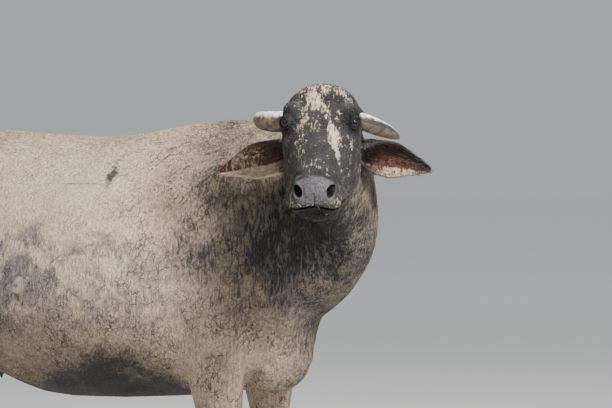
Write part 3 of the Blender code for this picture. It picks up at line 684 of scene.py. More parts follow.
def fuse_ears(hide):
    """Joins both ears to the head in one closed skin and eases the join."""
    for side in (-1, 1):
        ear = ear_shell(side)
        join = hide.modifiers.new("join", "BOOLEAN")
        join.operation = "UNION"
        join.object = ear
        join.solver = "MANIFOLD"
        apply_modifiers(hide)
        bpy.data.objects.remove(ear)
    points = points_of(hide)
    local = to_head(points)
    roots = np.zeros(len(points))
    for side in (-1, 1):
        place = mirrored(EAR_BASE + EAR_OUT[side].normalized() * 0.014, side)
        roots = np.maximum(roots, fade(np.linalg.norm(local - place, axis=1), 0.030, 0.050))
    smooth(hide, roots, 6)


def on_ears(local, normals):
    """1 on the ears, how far up the ear, 1 on the inner face, and how far toward the lower rim."""
    share, along, inner, lower = (np.zeros(len(local)) for _ in range(4))
    ts, halves, curls = np.array(EAR_ROWS).T
    radii = halves / np.sin(np.minimum(np.radians(curls), math.pi / 2))
    turned = normals @ HEAD_THERE[:3, :3]
    for side in (-1, 1):
        out = EAR_OUT[side].normalized()
        opens = (EAR_OPENS - out * EAR_OPENS.dot(out)).normalized()
        across = np.array(out.cross(opens))
        out, opens = np.array(out), np.array(opens)
        away = local * (1, side, 1) - np.array(EAR_BASE)
        t = away @ out / EAR_LENGTH
        half = np.interp(t, ts, halves)
        depth = np.interp(t, ts, radii) - half * 0.7
        middle = np.outer(t * EAR_LENGTH, out) + np.outer(depth, opens)
        off = np.linalg.norm(away - np.outer(away @ out, out), axis=1)
        here = fade(off, 0.056, 0.064) * fade(-t, -0.16, -0.10) * fade(t, 1.03, 1.07)
        here *= local[:, 1] * side > 0.088
        better = here > share
        facing = np.einsum("ij,ij->i", turned * (1, side, 1), middle - away) > 0
        share = np.where(better, here, share)
        along = np.where(better, t, along)
        inner = np.where(better, facing, inner)
        low = -(away @ across) / np.maximum(half, 0.006)
        if (HEAD_THERE[:3, :3] @ (across * (1, side, 1)))[2] <= 0:
            low = -low
        lower = np.where(better, low, lower)
    return share, along, inner, lower


def make_hide():
    hide = fused_flesh()
    points = points_of(hide)
    head = on_head(points)
    smooth(hide, np.clip(1 - 0.75 * head - 0.80 * on_limbs(points), 0.1, 1), 60)
    thin_out(hide)
    split_finer(hide, lambda p: on_head(p, 0.125, 0.126) > 0.5)
    smooth(hide, on_head(points_of(hide)), 8)
    split_finer(hide, fine_places)
    smooth(hide, on_head(points_of(hide)), 3)
    set_points(hide, points_of(hide) - normals_of(hide) * COAT_DEPTH)
    carve_head(hide)
    fold_body(hide)
    thin_part(hide, ~fine_places(points_of(hide)), PLAIN_TRIANGLES)
    fuse_ears(hide)
    hide.data.name = "hide"
    return hide


# Markings, in named places: where dry mud lies, how light the bare skin is, and where it is moist

# Mud on the face, in the head frame: along the nose and to her left, half sizes, turn in degrees, amount
FACE_MUD = [
    ((0.040, -0.006), (0.044, 0.056), 0, 0.46),
    ((0.100, -0.016), (0.054, 0.028), 14, 0.62),
    ((0.045, 0.050), (0.040, 0.022), -20, 0.44),
    ((0.166, 0.018), (0.052, 0.017), 12, 0.58),
    ((0.242, 0.040), (0.056, 0.022), 10, 0.76),
    ((0.285, 0.050), (0.028, 0.012), 10, 0.70),
    ((0.170, -0.040), (0.060, 0.020), -8, 0.50),
    ((0.235, -0.046), (0.060, 0.018), -4, 0.42),
    ((0.205, -0.010), (0.060, 0.018), 0, 0.40),
    ((0.300, -0.040), (0.050, 0.020), 0, 0.36),
    ((0.100, -0.060), (0.050, 0.020), 0, 0.36),
    ((0.080, 0.070), (0.050, 0.022), 0, 0.38),
    ((0.030, -0.062), (0.034, 0.022), 0, 0.42),
    ((0.235, 0.088), (0.080, 0.014), 2, 0.40),
    ((0.150, 0.050), (0.022, 0.010), 30, 0.50),
]
# Bare dark skin on the face, laid over the mud
FACE_BARE = [
    ((0.142, -0.084), (0.050, 0.032), 0, 0.95),
    ((0.142, 0.080), (0.050, 0.032), 0, 0.95),
    ((0.250, 0.008), (0.085, 0.015), -4, 0.70),
    ((0.096, 0.046), (0.030, 0.014), 30, 0.55),
]


# Height over the ground, and how much mud lies there on the trunk
MUD_HEIGHTS = (0.50, 0.56, 0.60, 0.64, 0.70, 0.78, 0.86, 0.96, 1.20, 1.42)
MUD_AMOUNTS = (0.16, 0.36, 0.56, 0.65, 0.70, 0.73, 0.85, 0.95, 0.96, 0.84)


def patch(a, s, place, half, turn):
    """1 inside an ellipse on the face, fading over its rim."""
    turn = math.radians(turn)
    along, across = a - place[0], s - place[1]
    u = (along * math.cos(turn) + across * math.sin(turn)) / half[0]
    v = (-along * math.sin(turn) + across * math.cos(turn)) / half[1]
    return fade(np.hypot(u, v), 0.30, 1.50)


def trunk_marks(body, normals, neck):
    """Mud, lilac and tone on the trunk, neck and legs."""
    x, _, z = body.T
    limbs = fade(z, 0.44, 0.54)
    drift = ripple(body, 0.34, 21)
    drift_small = ripple(body, 0.11, 22)
    level = z + 0.035 * drift + 0.018 * drift_small
    mud = np.interp(level, MUD_HEIGHTS, MUD_AMOUNTS)
    shanks = np.maximum(fade(np.abs(x - 0.41), 0.10, 0.20), fade(x, -0.62, -0.50))
    mud = np.where(z < 0.80, mud + shanks * np.clip(0.80 - mud, 0, 1), mud)
    # Bare belly and inner sides, with painted shade where the skin faces down
    under = fade(normals[:, 2], -0.995, -0.84) * (1 - limbs) * fade(z, 0.80, 0.90)
    mud -= 0.34 * under * (1 - 0.6 * shanks)
    # Thinner mud from the shoulder forward, and less again on the neck and throat; this darkening is also
    # painted shade under and behind the head, most on the throat
    forward = fade(-(x + 0.06 * drift), -0.36, -0.10) * (1 - limbs)
    mud = mud * (1 - forward) + forward * np.minimum(mud - 0.04, 0.76 + 0.05 * drift_small)
    mud -= 0.19 * neck * (1 - limbs)
    throat = fade(np.linalg.norm((body - (0.67, -0.25, 0.98)) / (1, 1, 1.2), axis=1), 0.07, 0.21)
    mud -= 0.23 * throat
    mud = mud * (1 - limbs) + limbs * (0.80 + 0.07 * drift_small - 0.20 * fade(z, 0.20, 0.45))

    smear = fade(np.hypot((x + 0.20) / 0.46, (level - 0.900) / 0.110), 0.45, 1.10)
    smear = np.maximum(smear, 0.70 * fade(np.abs(level - 0.86), 0.05, 0.18))
    lilac = smear * (1 - limbs) * (1 - 0.5 * forward)

    # Tone: darker from the shoulder forward, on the neck and most on the throat, as painted shade under and
    # behind the head; darker where the skin faces down, as painted shade
    tone = 0.42 + 0.10 * drift - 0.10 * forward - (0.20 * under + 0.03 * neck) - 0.18 * throat
    tone = tone * (1 - limbs) + 0.40 * limbs
    return mud, lilac, tone


def face_marks(local, normals):
    """Mud and tone on the head, away from the ears."""
    a, s, _ = local.T
    mud = np.zeros(len(local))
    facing = fade(-(normals @ HEAD_THERE[:3, 2]), -0.25, 0.15)
    wander = ripple(local, 0.050, 31) * 0.010
    for place, half, turn, amount in FACE_MUD:
        here = patch(a + wander, s + wander * 0.6, place, half, turn)
        mud = np.maximum(mud, amount * here * facing)
    for place, half, turn, amount in FACE_BARE:
        mud *= 1 - amount * patch(a + wander, s, place, half, turn)
    mud *= fade(a, 0.35, 0.40)
    mud = np.maximum(mud + 0.05, 0.27 + 0.08 * ripple(local, 0.030, 33))
    return mud, 0.22 + 0.06 * ripple(local, 0.06, 32)


def ear_marks(s, along, lower):
    """Mud on the ears, and painted shade on her left ear: under its upper rim and out to the tip."""
    rim_mud = fade(-lower, -0.62, -0.25) * fade(-along, -0.30, -0.16)
    mud = 0.18 + 0.46 * rim_mud + 0.16 * fade(np.abs(along - 0.66), 0.10, 0.30)
    mud += np.where(s < 0, 0.05 + 0.34 * rim_mud + 0.12 * fade(-along, -0.62, -0.30), -0.10)
    shaded = 0.80 * fade(lower, -0.55, -0.05) + 0.55 * fade(-along, -0.90, -0.66)
    return mud, np.where(s > 0, shaded, 0)


def markings(points, normals):
    """Arrays of mud, lilac, tone, moist and the other masks for points on the hide."""
    local = to_head(points)
    a, s, u = local.T
    head = on_head(points, 0.122, 0.148)
    mud, lilac, tone = trunk_marks(to_body(points), normals, on_neck(points))
    face_mud, face_tone = face_marks(local, normals)
    mud = mud * (1 - head) + face_mud * head
    tone = tone * (1 - head) + face_tone * head
    lilac = lilac * (1 - head)

    ears, along, inner, lower = on_ears(local, normals)
    ear_mud, shaded = ear_marks(s, along, lower)
    mud = mud * (1 - ears) + ear_mud * ears
    tone = tone * (1 - ears) + 0.26 * ears

    over = above_mouth(local)
    moist = fade(np.abs(s), 0.044, 0.056) * fade(-a, -0.424, -0.410) * fade(-u, 0.084, 0.096)
    tone = tone * (1 - moist) + 0.55 * moist
    mud *= 1 - moist
    # Painted shade under the mouth: the chin gets darker skin and less mud
    chin = fade(over, -0.030, -0.006) * fade(-a, -0.36, -0.30) * head
    tone -= 0.27 * chin
    mud -= 0.15 * chin
    lip = fade(np.abs(over - 0.012), 0.008, 0.022) * fade(-a, -0.42, -0.40) * head
    mud += 0.10 * lip * (1 - moist)
    tone += 0.10 * lip * (1 - moist)
    # Painted shade: dark in the parting of the lips, in the nostrils and round the opening of the lids,
    # where the rims of the lids are also dark skin of their own
    dark = fade(np.abs(over + 0.0018), 0.0038, 0.0080) * at_mouth(local) * head
    for side in (-1, 1):
        dark = np.maximum(dark, fade(nostril_reach(local, side), 0.88, 1.15))
        gap, reach = lid_gap(local, side)
        near = (reach < 0.05) & (np.abs(s - side * EYE_PLACE.y) < 0.06)
        dark = np.maximum(dark, np.where(near, 0.9 * fade(-gap, 0.0026, 0.0080), 0))
        tone = np.where(near, tone - 0.16 * fade(reach, 0.026, 0.046), tone)
        mud = np.where(near, mud * (1 - fade(reach, 0.026, 0.042)), mud)
    masks = {
        "mud": mud * (1 - dark),
        "lilac": lilac,
        "tone": tone * (1 - 0.92 * dark),
        "moist": moist,
        "face": head * (1 - ears),
        "cup": ears * inner,
        # The root mask also carries painted shade under the upper rim of her left ear and out to its tip
        "root": ears * inner * np.maximum(fade(along, 0.16, 0.46), shaded),
    }
    return {name: np.clip(values, 0, 1) for name, values in masks.items()}


def set_attributes(mesh, named):
    for name, values in named.items():
        layer = mesh.attributes.new(name, "FLOAT", "POINT")
        layer.data.foreach_set("value", np.asarray(values, np.float32))


# Materials


class Board:
    """Adds nodes to a tree and links them as they are named."""

    def __init__(self, tree):
        self.tree = tree

    def node(self, kind, **settings):
        made = self.tree.nodes.new(kind)
        for name, value in settings.items():
            setattr(made, name, value)
        return made

    def link(self, source, target):
        self.tree.links.new(source, target)

    def put(self, value, socket):
        """A number or colour is set on the socket, and an output is linked to it."""
        if isinstance(value, bpy.types.NodeSocket):
            self.link(value, socket)
        else:
            socket.default_value = value

    def fill(self, made, values):
        for name, value in values.items():
            self.put(value, made.inputs[name])

    def math(self, operation, first, second=0.0, clamp=False):
        made = self.node("ShaderNodeMath", operation=operation, use_clamp=clamp)
        self.put(first, made.inputs[0])
        self.put(second, made.inputs[1])
        return made.outputs[0]

    def add(self, first, *others):
        for other in others:
            first = self.math("ADD", first, other)
        return first

    def times(self, first, second):
        return self.math("MULTIPLY", first, second)

    def less(self, first, second):
        return self.math("SUBTRACT", first, second)

    def without(self, value, mask):
        """The value where the mask is 0, and none of it where the mask is 1."""
        return self.times(value, self.less(1.0, mask))

    def swing(self, mask, amount):
        """How far the mask is over its middle, times the amount."""
        return self.times(self.less(mask, 0.5), amount)

    def range(self, value, low, high, to_low=0.0, to_high=1.0, smooth=True):
        kind = "SMOOTHSTEP" if smooth else "LINEAR"
        made = self.node("ShaderNodeMapRange", interpolation_type=kind)
        limits = {"From Min": low, "From Max": high, "To Min": to_low, "To Max": to_high}
        self.fill(made, {"Value": value, **limits})
        return made.outputs["Result"]

    def mix(self, factor, first, second, blend="MIX"):
        made = self.node("ShaderNodeMix", data_type="RGBA", blend_type=blend)
        self.put(factor, made.inputs["Factor"])
        self.put(first, made.inputs[6])
        self.put(second, made.inputs[7])
        return made.outputs[2]

    def blend(self, factor, first, second):
        """Between two numbers."""
        made = self.node("ShaderNodeMix", data_type="FLOAT")
        self.put(factor, made.inputs[0])
        self.put(first, made.inputs[2])
        self.put(second, made.inputs[3])
        return made.outputs[0]

    def noise(self, vector, scale, detail=3.0, roughness=0.5, distortion=0.0):
        made = self.node("ShaderNodeTexNoise")
        settings = {"Scale": scale, "Detail": detail, "Roughness": roughness, "Distortion": distortion}
        self.fill(made, {"Vector": vector, **settings})
        return made.outputs["Fac"]

    def mask(self, vector, low, high, *noise):
        """Noise drawn out so that low is 0 and high is 1."""
        return self.range(self.noise(vector, *noise), low, high, smooth=False)

    def voronoi(self, vector, scale, feature="DISTANCE_TO_EDGE"):
        made = self.node("ShaderNodeTexVoronoi", feature=feature)
        self.fill(made, {"Vector": vector, "Scale": scale})
        return made.outputs["Distance"]

    def vector(self, operation, first, second=(0, 0, 0)):
        made = self.node("ShaderNodeVectorMath", operation=operation)
        self.put(first, made.inputs[0])
        self.put(second, made.inputs[1])
        return made

    def scaled(self, vector, scale):
        return self.vector("MULTIPLY", vector, scale).outputs[0]

    def joined(self, *parts):
        made = self.node("ShaderNodeCombineXYZ")
        for part, socket in zip(parts, made.inputs):
            self.put(part, socket)
        return made.outputs[0]

    def object_place(self):
        return self.node("ShaderNodeTexCoord").outputs["Object"]

    def attribute(self, name):
        return self.node("ShaderNodeAttribute", attribute_name=name).outputs["Fac"]


def new_group(name, inputs, outputs):
    tree = bpy.data.node_groups.new(name, "ShaderNodeTree")
    for socket in inputs:
        tree.interface.new_socket(socket, in_out="INPUT", socket_type="NodeSocketFloat")
    for socket, kind in outputs:
        tree.interface.new_socket(socket, in_out="OUTPUT", socket_type=kind)
    board = Board(tree)
    return board, board.node("NodeGroupInput"), board.node("NodeGroupOutput")


def head_grain(board, place):
    """Coordinates in which hair and streaks run down the nose."""
    parts = []
    for column, stretch in ((1, 1.0), (2, 1.0), (0, 0.16)):
        way = tuple(float(v) * stretch for v in HEAD_THERE[:3, column])
        parts.append(board.vector("DOT_PRODUCT", place, way).outputs["Value"])
    return board.joined(*parts)


# Root holds the dark root of the ears together with painted shade in her left ear
HIDE_INPUTS = ("Mud", "Lilac", "Tone", "Moist", "Face", "Cup", "Root")


# Rubbed marks on the near flank, in body coordinates
SMUDGE = Vector((0.086, -0.214, 1.160))
SCRATCH = Vector((0.002, -0.236, 1.1355))


def flank_marks(board, place, small):
    """1 on the dark smudge and on the scratch beside it."""
    marks = []
    wander = board.swing(small, 0.9)
    for middle, scale, amount in ((SMUDGE, (62.0, 4.0, 36.0), 0.92), (SCRATCH, (12.0, 4.0, 420.0), 0.50)):
        away = board.vector("SUBTRACT", place, middle + SHIFT).outputs[0]
        size = board.vector("LENGTH", board.scaled(away, scale)).outputs["Value"]
        marks.append(board.range(board.add(size, wander), 0.45, 1.25, amount, 0.0))
    return board.math("MAXIMUM", marks[0], marks[1])


# Colours of the hide, each pair from dark to light
BARE_SKIN = ((0.0020, 0.0018, 0.0020, 1), (0.062, 0.056, 0.056, 1))
PAD_SKIN = ((0.040, 0.032, 0.036, 1), (0.150, 0.126, 0.138, 1))
PALE_MUD = ((0.500, 0.378, 0.250, 1), (0.640, 0.505, 0.355, 1))
GREY_MUD = ((0.110, 0.086, 0.064, 1), (0.330, 0.262, 0.190, 1))
THIN_MUD = ((0.062, 0.052, 0.043, 1), (0.185, 0.152, 0.118, 1))
WET_MUD = ((0.105, 0.086, 0.094, 1), (0.235, 0.198, 0.205, 1))
EAR_CUP = ((0.0060, 0.0026, 0.0018, 1), (0.095, 0.0310, 0.0190, 1))
MUD_CRUMB = (0.72, 0.60, 0.455, 1)
MUD_SPECK = (0.070, 0.055, 0.042, 1)
BODY_STREAK = (0.060, 0.048, 0.038, 1)
FACE_STREAK = (0.035, 0.029, 0.025, 1)
FINE_CRACK = (0.028, 0.022, 0.018, 1)
DEEP_CRACK = (0.010, 0.008, 0.007, 1)
PAD_HOLLOW_SHADE = (0.0015, 0.001, 0.001, 1)
EAR_MUD = (0.34, 0.26, 0.18, 1)
EAR_ROOT_AND_SHADE = (0.0018, 0.0013, 0.0012, 1)


def hide_noise(board, place, face):
    """Masks from broad patches down to specks, with streaks that follow the hair."""
    down = board.scaled(place, (1.0, 1.0, 0.13))
    grain = head_grain(board, place)
    hair = (190.0, 4.0, 0.66, 0.3)
    hairy = board.blend(face, board.noise(down, *hair), board.noise(grain, *hair))
    long_down = board.scaled(place, (1.0, 1.0, 0.20))
    return SimpleNamespace(
        broad=board.mask(place, 0.34, 0.66, 4.0, 3.0, 0.55),
        patchy=board.mask(place, 0.32, 0.68, 15.0, 7.0, 0.66, 0.5),
        small=board.mask(place, 0.32, 0.68, 85.0, 5.0, 0.66, 0.3),
        speck=board.mask(place, 0.34, 0.66, 260.0, 3.0, 0.6),
        streak=board.range(hairy, 0.32, 0.68, smooth=False),
        long_streak=board.mask(long_down, 0.34, 0.66, 48.0, 6.0, 0.68, 0.5),
    )


def mud_cracks(board, place, mud, patchy):
    """Wide and fine cracks of the dry mud."""
    warp = board.noise(place, 30.0, 4.0, 0.65)
    bend = board.joined(*(board.times(warp, amount) for amount in (0.055, 0.055, 0.035)))
    bent = board.vector("ADD", board.scaled(place, (1.0, 1.0, 0.55)), bend).outputs[0]
    crack = board.range(board.voronoi(bent, 62.0), 0.0, 0.060, 1.0, 0.0)
    fine_crack = board.range(board.voronoi(board.scaled(bent, (1.0, 1.0, 0.8)), 135.0), 0.0, 0.12, 1.0, 0.0)
    # Wide cracks open where the mud is thick but low on the body, and in places only
    thick = board.times(board.range(mud, 0.40, 0.62), board.range(mud, 0.82, 0.97, 1.0, 0.45))
    thick = board.times(thick, board.range(patchy, 0.30, 0.80))
    return board.times(crack, thick), board.times(fine_crack, board.range(mud, 0.30, 0.60, 0.25, 1.0))


# What each noise adds to the field that the mud has to beat, on the body and, finer, on the face
BODY_SHARES = {"patchy": 0.22, "small": 0.22, "streak": 0.34, "long_streak": 0.22}
FACE_SHARES = {"patchy": 0.08, "small": 0.32, "streak": 0.44, "speck": 0.16}


def mud_threshold(board, noise, face):
    """Mud shows where its amount beats this field."""
    fields = []
    for shares in (BODY_SHARES, FACE_SHARES):
        parts = [board.times(getattr(noise, name), share) for name, share in shares.items()]
        fields.append(board.add(*parts))
    return board.blend(face, *fields)


def bare_skin(board, noise, tone_in, moist):
    tone = board.add(tone_in, board.swing(noise.patchy, 0.26), board.swing(noise.streak, 0.34))
    tone = board.math("ADD", tone, board.swing(noise.small, 0.14), clamp=True)
    pad = board.mix(noise.speck, *PAD_SKIN)
    # Near black where the tone is low on the pad: painted shade in the nostrils
    pad = board.mix(board.range(tone_in, 0.05, 0.45), PAD_HOLLOW_SHADE, pad)
    return board.mix(moist, board.mix(tone, *BARE_SKIN), pad)


def dry_mud(board, noise, mud, lilac, face, pale, fine_crack):
    """Dry mud, from pale tan to grey where it thins, with the lilac smear of a wetter coat."""
    grey = board.mix(noise.small, *GREY_MUD)
    grey = board.mix(board.range(mud, 0.42, 0.68), board.mix(noise.small, *THIN_MUD), grey)
    dry = board.mix(board.range(mud, 0.60, 0.92), grey, pale)
    dry = board.mix(board.times(face, 0.90), dry, pale)
    wet = board.times(lilac, board.range(noise.patchy, 0.30, 0.62, 0.25, 1.0))
    dry = board.mix(board.times(wet, 0.85), dry, board.mix(noise.long_streak, *WET_MUD))
    dry = board.mix(board.times(noise.speck, 0.16), dry, MUD_SPECK)
    lines = board.times(board.range(noise.streak, 0.46, 0.95), board.blend(face, 0.42, 0.85))
    dry = board.mix(lines, dry, board.mix(face, BODY_STREAK, FACE_STREAK))
    return board.mix(board.times(fine_crack, 0.34), dry, FINE_CRACK)


def ear_cup(board, noise, over, pale, root):
    """Inside of the ear: dark red-brown, near black at its root and, as painted shade, under the upper rim
    of her left ear and out to its tip, with mud on its lower rim.
    """
    cup = board.mix(noise.streak, *EAR_CUP)
    cup = board.mix(board.range(over, -0.06, 0.20), cup, board.mix(noise.small, EAR_MUD, pale))
    return board.mix(root, cup, EAR_ROOT_AND_SHADE)


def hide_height(board, place, noise, cover, crack, fine_crack, moist):
    """The height that the bump is made from, with pebbles on the moist pad."""
    height = board.add(
        board.times(noise.streak, 0.40),
        board.times(noise.patchy, 0.22),
        board.times(noise.small, 0.16),
        board.times(cover, 0.30),
    )
    height = board.less(height, board.times(fine_crack, 0.20))
    height = board.less(height, board.times(crack, 0.40))
    pebble = board.range(board.voronoi(place, 300.0), 0.0, 0.30, 0.0, 0.32)
    return board.blend(moist, height, pebble)


def hide_pattern():
    """Bare skin, dry mud with its cracks and streaks, and the moist pad, for the hide and the coat alike."""
    board, given, out = new_group(
        "hide pattern",
        HIDE_INPUTS,
        (("Color", "NodeSocketColor"), ("Roughness", "NodeSocketFloat"), ("Height", "NodeSocketFloat")),
    )
    mud, lilac, tone, moist, face, cup, root = (given.outputs[name] for name in HIDE_INPUTS)
    place = board.object_place()
    noise = hide_noise(board, place, face)
    crack, fine_crack = mud_cracks(board, place, mud, noise.patchy)
    over = board.less(mud, mud_threshold(board, noise, face))
    cover = board.range(over, board.blend(face, -0.14, -0.10), board.blend(face, 0.16, 0.20))
    cover = board.without(cover, board.times(crack, 0.55))
    cover = board.without(cover, flank_marks(board, place, noise.small))

    pale = board.mix(noise.broad, *PALE_MUD)
    pale = board.mix(board.times(noise.small, 0.40), pale, MUD_CRUMB)
    bare = bare_skin(board, noise, tone, moist)
    colour = board.mix(cover, bare, dry_mud(board, noise, mud, lilac, face, pale, fine_crack))
    colour = board.mix(board.times(crack, 0.50), colour, DEEP_CRACK)
    colour = board.mix(cup, colour, ear_cup(board, noise, over, pale, root))

    rough = board.blend(cover, board.range(noise.streak, 0.0, 1.0, 0.50, 0.68), 0.93)
    rough = board.blend(board.times(moist, 0.85), rough, 0.24)
    height = hide_height(board, place, noise, cover, crack, fine_crack, moist)
    board.fill(out, {"Color": colour, "Roughness": rough, "Height": height})
    return board.tree


def new_material(name):
    made = bpy.data.materials.new(name)
    made.use_nodes = True
    board = Board(made.node_tree)
    shader = made.node_tree.nodes["Principled BSDF"]
    return made, board, shader


def add_bump(board, shader, height, strength, distance):
    bump = board.node("ShaderNodeBump")
    board.fill(bump, {"Strength": strength, "Distance": distance, "Height": height})
    board.link(bump.outputs["Normal"], shader.inputs["Normal"])


def place_pattern(board, tree):
    group = board.node("ShaderNodeGroup", node_tree=tree)
    for name in HIDE_INPUTS:
        board.link(board.attribute(name.lower()), group.inputs[name])
    return group


def hide_material(tree):
    made, board, shader = new_material("muddy hide")
    group = place_pattern(board, tree)
    colour, rough, height = (group.outputs[name] for name in ("Color", "Roughness", "Height"))
    board.fill(shader, {"Base Color": colour, "Roughness": rough, "Specular IOR Level": 0.22})
    add_bump(board, shader, height, 1.0, 0.0055)
    return made


def coat_material(tree):
    """Short hair under the same mud as the hide, with its own dark and sunned hairs between."""
    made, board, shader = new_material("short hair")
    group = place_pattern(board, tree)
    shade = board.range(board.attribute("shade"), 0.30, 0.85)
    hair = board.mix(shade, (0.010, 0.008, 0.007, 1), (0.190, 0.150, 0.105, 1))
    caked = board.range(board.attribute("mud"), 0.25, 0.80, 0.50, 0.10)
    colour = board.mix(caked, group.outputs["Color"], hair)
    board.fill(shader, {"Base Color": colour, "Roughness": 0.75, "Specular IOR Level": 0.2})
    return made


def long_hair_material():
    """Hair of the ears, lips, lids and switch, from black-brown to pale."""
    made, board, shader = new_material("long hair")
    shade = board.attribute("shade")
    colour = board.mix(board.range(shade, 0.0, 0.55), (0.0045, 0.0030, 0.0025, 1), (0.120, 0.060, 0.034, 1))
    colour = board.mix(board.range(shade, 0.55, 1.0), colour, (0.62, 0.54, 0.42, 1))
    board.fill(shader, {"Base Color": colour, "Roughness": 0.55, "Specular IOR Level": 0.3})
    return made


# Coat

LINES = {
    "trunk": [(-0.86, 0, 0.95), (0.44, 0, 0.95)],
    "neck": [(0.30, 0, 0.98), (0.60, 0, 0.98), (0.74, -0.16, 1.12), (0.80, -0.36, 1.26)],
    "foreleg_left": [(0.42, 0.16, 0.80), (0.42, 0.16, 0.0)],
    "foreleg_right": [(0.42, -0.16, 0.80), (0.42, -0.16, 0.0)],
    "hindleg_left": [(-0.70, 0.16, 0.80), (-0.70, 0.16, 0.0)],
    "hindleg_right": [(-0.70, -0.16, 0.80), (-0.70, -0.16, 0.0)],
    "tail": [(-0.90, 0, 1.10), (-0.90, 0, 0.30)],
}
PATCH = 0.003
# A tuft's root is sunk this deep. The rest are shares of its lift and its width
ROOT_DEPTH = 0.0007
TUFT_ARCH = 0.55
TUFT_THICKNESS = 0.42
COAT_LOWEST = 0.035
EAR_HAIRS = 1500
EAR_HAIR_SIZES = ((0.009, 0.021), (0.0004, 0.0008), (0.12, 0.40), (0.0, 0.12))
WHISKERS = 420
SWITCH_LOCKS = 2600


def round_line(points, line):
    """How far along a line each point lies and how far round it, both 0 to 1, and how far off it."""
    line = np.array(line, float)
    steps = np.linalg.norm(np.diff(line, axis=0), axis=1)
    nearest = np.full(len(points), np.inf)
    along, turn = np.zeros(len(points)), np.zeros(len(points))
    run = 0.0
    for a, b, step in zip(line, line[1:], steps):
        way = (b - a) / step
        side = np.cross(way, (0, 0, 1) if abs(way[2]) < 0.9 else (1, 0, 0))
        side /= np.linalg.norm(side)
        up = np.cross(side, way)
        t = np.clip((points - a) @ way, 0, step)
        away = points - a - t[:, None] * way
        off = np.linalg.norm(away, axis=1)
        closer = off < nearest
        along = np.where(closer, (run + t) / steps.sum(), along)
        turn = np.where(closer, np.arctan2(away @ side, away @ up) / math.tau + 0.5, turn)
        nearest = np.minimum(nearest, off)
        run += step
    return along, turn, nearest


def unwrap(points, lines):
    """Each point's place on the skin unrolled round its nearest line, with a column for each line."""
    found = [round_line(points, line) for line in lines]
    which = np.argmin([off for _, _, off in found], axis=0)
    along = np.choose(which, [a for a, _, _ in found])
    turn = np.choose(which, [t for _, t, _ in found])
    across = (which + 0.02 + 0.96 * turn) / len(lines)
    return np.stack((across, 0.01 + 0.98 * along), axis=1)


class Skin:
    """The hide's faces as arrays, to grow hair from."""

    def __init__(self, obj, named):
        self.corners = corners_of(obj.data)
        self.points = points_of(obj)
        self.normals = normals_of(obj)
        self.named = named
        a, b, c = (self.points[self.corners[:, k]] for k in range(3))
        self.area = np.linalg.norm(np.cross(b - a, c - a), axis=1) / 2

    def scatter(self, count, density, seed):
        """Roots at random over the skin, as often as density, given for its vertices, says."""
        draw = np.random.default_rng(seed)
        chance = np.cumsum(self.area * density[self.corners].mean(axis=1))
        chosen = np.searchsorted(chance, draw.random(count) * chance[-1])
        shares = draw.dirichlet((1, 1, 1), count)
        held = self.corners[chosen]
        roots = np.einsum("ij,ijk->ik", shares, self.points[held])
        normals = np.einsum("ij,ijk->ik", shares, self.normals[held])
        normals /= np.linalg.norm(normals, axis=1)[:, None]
        values = {name: np.einsum("ij,ij->i", shares, array[held]) for name, array in self.named.items()}
        return roots, normals, values


def along_skin(ways, normals, draw, spread):
    """Ways laid into the skin's own plane and turned a little at random, all of length 1."""
    ways = ways / np.linalg.norm(ways, axis=1)[:, None] + draw.normal(size=ways.shape) * spread
    ways -= normals * np.einsum("ij,ij->i", ways, normals)[:, None]
    return ways / np.maximum(np.linalg.norm(ways, axis=1), 1e-6)[:, None]


def lie(roots, normals):
    """Down and back over the body, back along the spine, down the legs and down the face."""
    local = to_head(roots)
    body = to_body(roots)
    top = fade(-normals[:, 2], -0.90, -0.60)[:, None]
    ways = np.array((-0.45, 0.0, -1.0)) * (1 - top) + np.array((-1.0, 0.0, -0.1)) * top
    limbs = on_limbs(roots)[:, None]
    ways = ways * (1 - limbs) + np.array((-0.08, 0.0, -1.0)) * limbs
    neck = (on_neck(roots) * fade(body[:, 2], 1.0, 1.15))[:, None] * (1 - limbs)
    ways = ways * (1 - 0.5 * neck) + np.array((-0.1, 0.25, -1.0)) * 0.5 * neck
    head = on_head(roots)[:, None]
    nose = HEAD_THERE[:3, 0] + np.outer(np.sign(local[:, 1]) * 0.18, HEAD_THERE[:3, 1])
    ways = ways * (1 - head) + nose * head
    ears, _, _, _ = on_ears(local, normals)
    out = np.where((local[:, 1] > 0)[:, None], np.array(EAR_OUT[1]), np.array(EAR_OUT[-1]) * (1, -1, 1))
    out = out @ HEAD_THERE[:3, :3].T
    return ways * (1 - ears[:, None]) + out * ears[:, None]


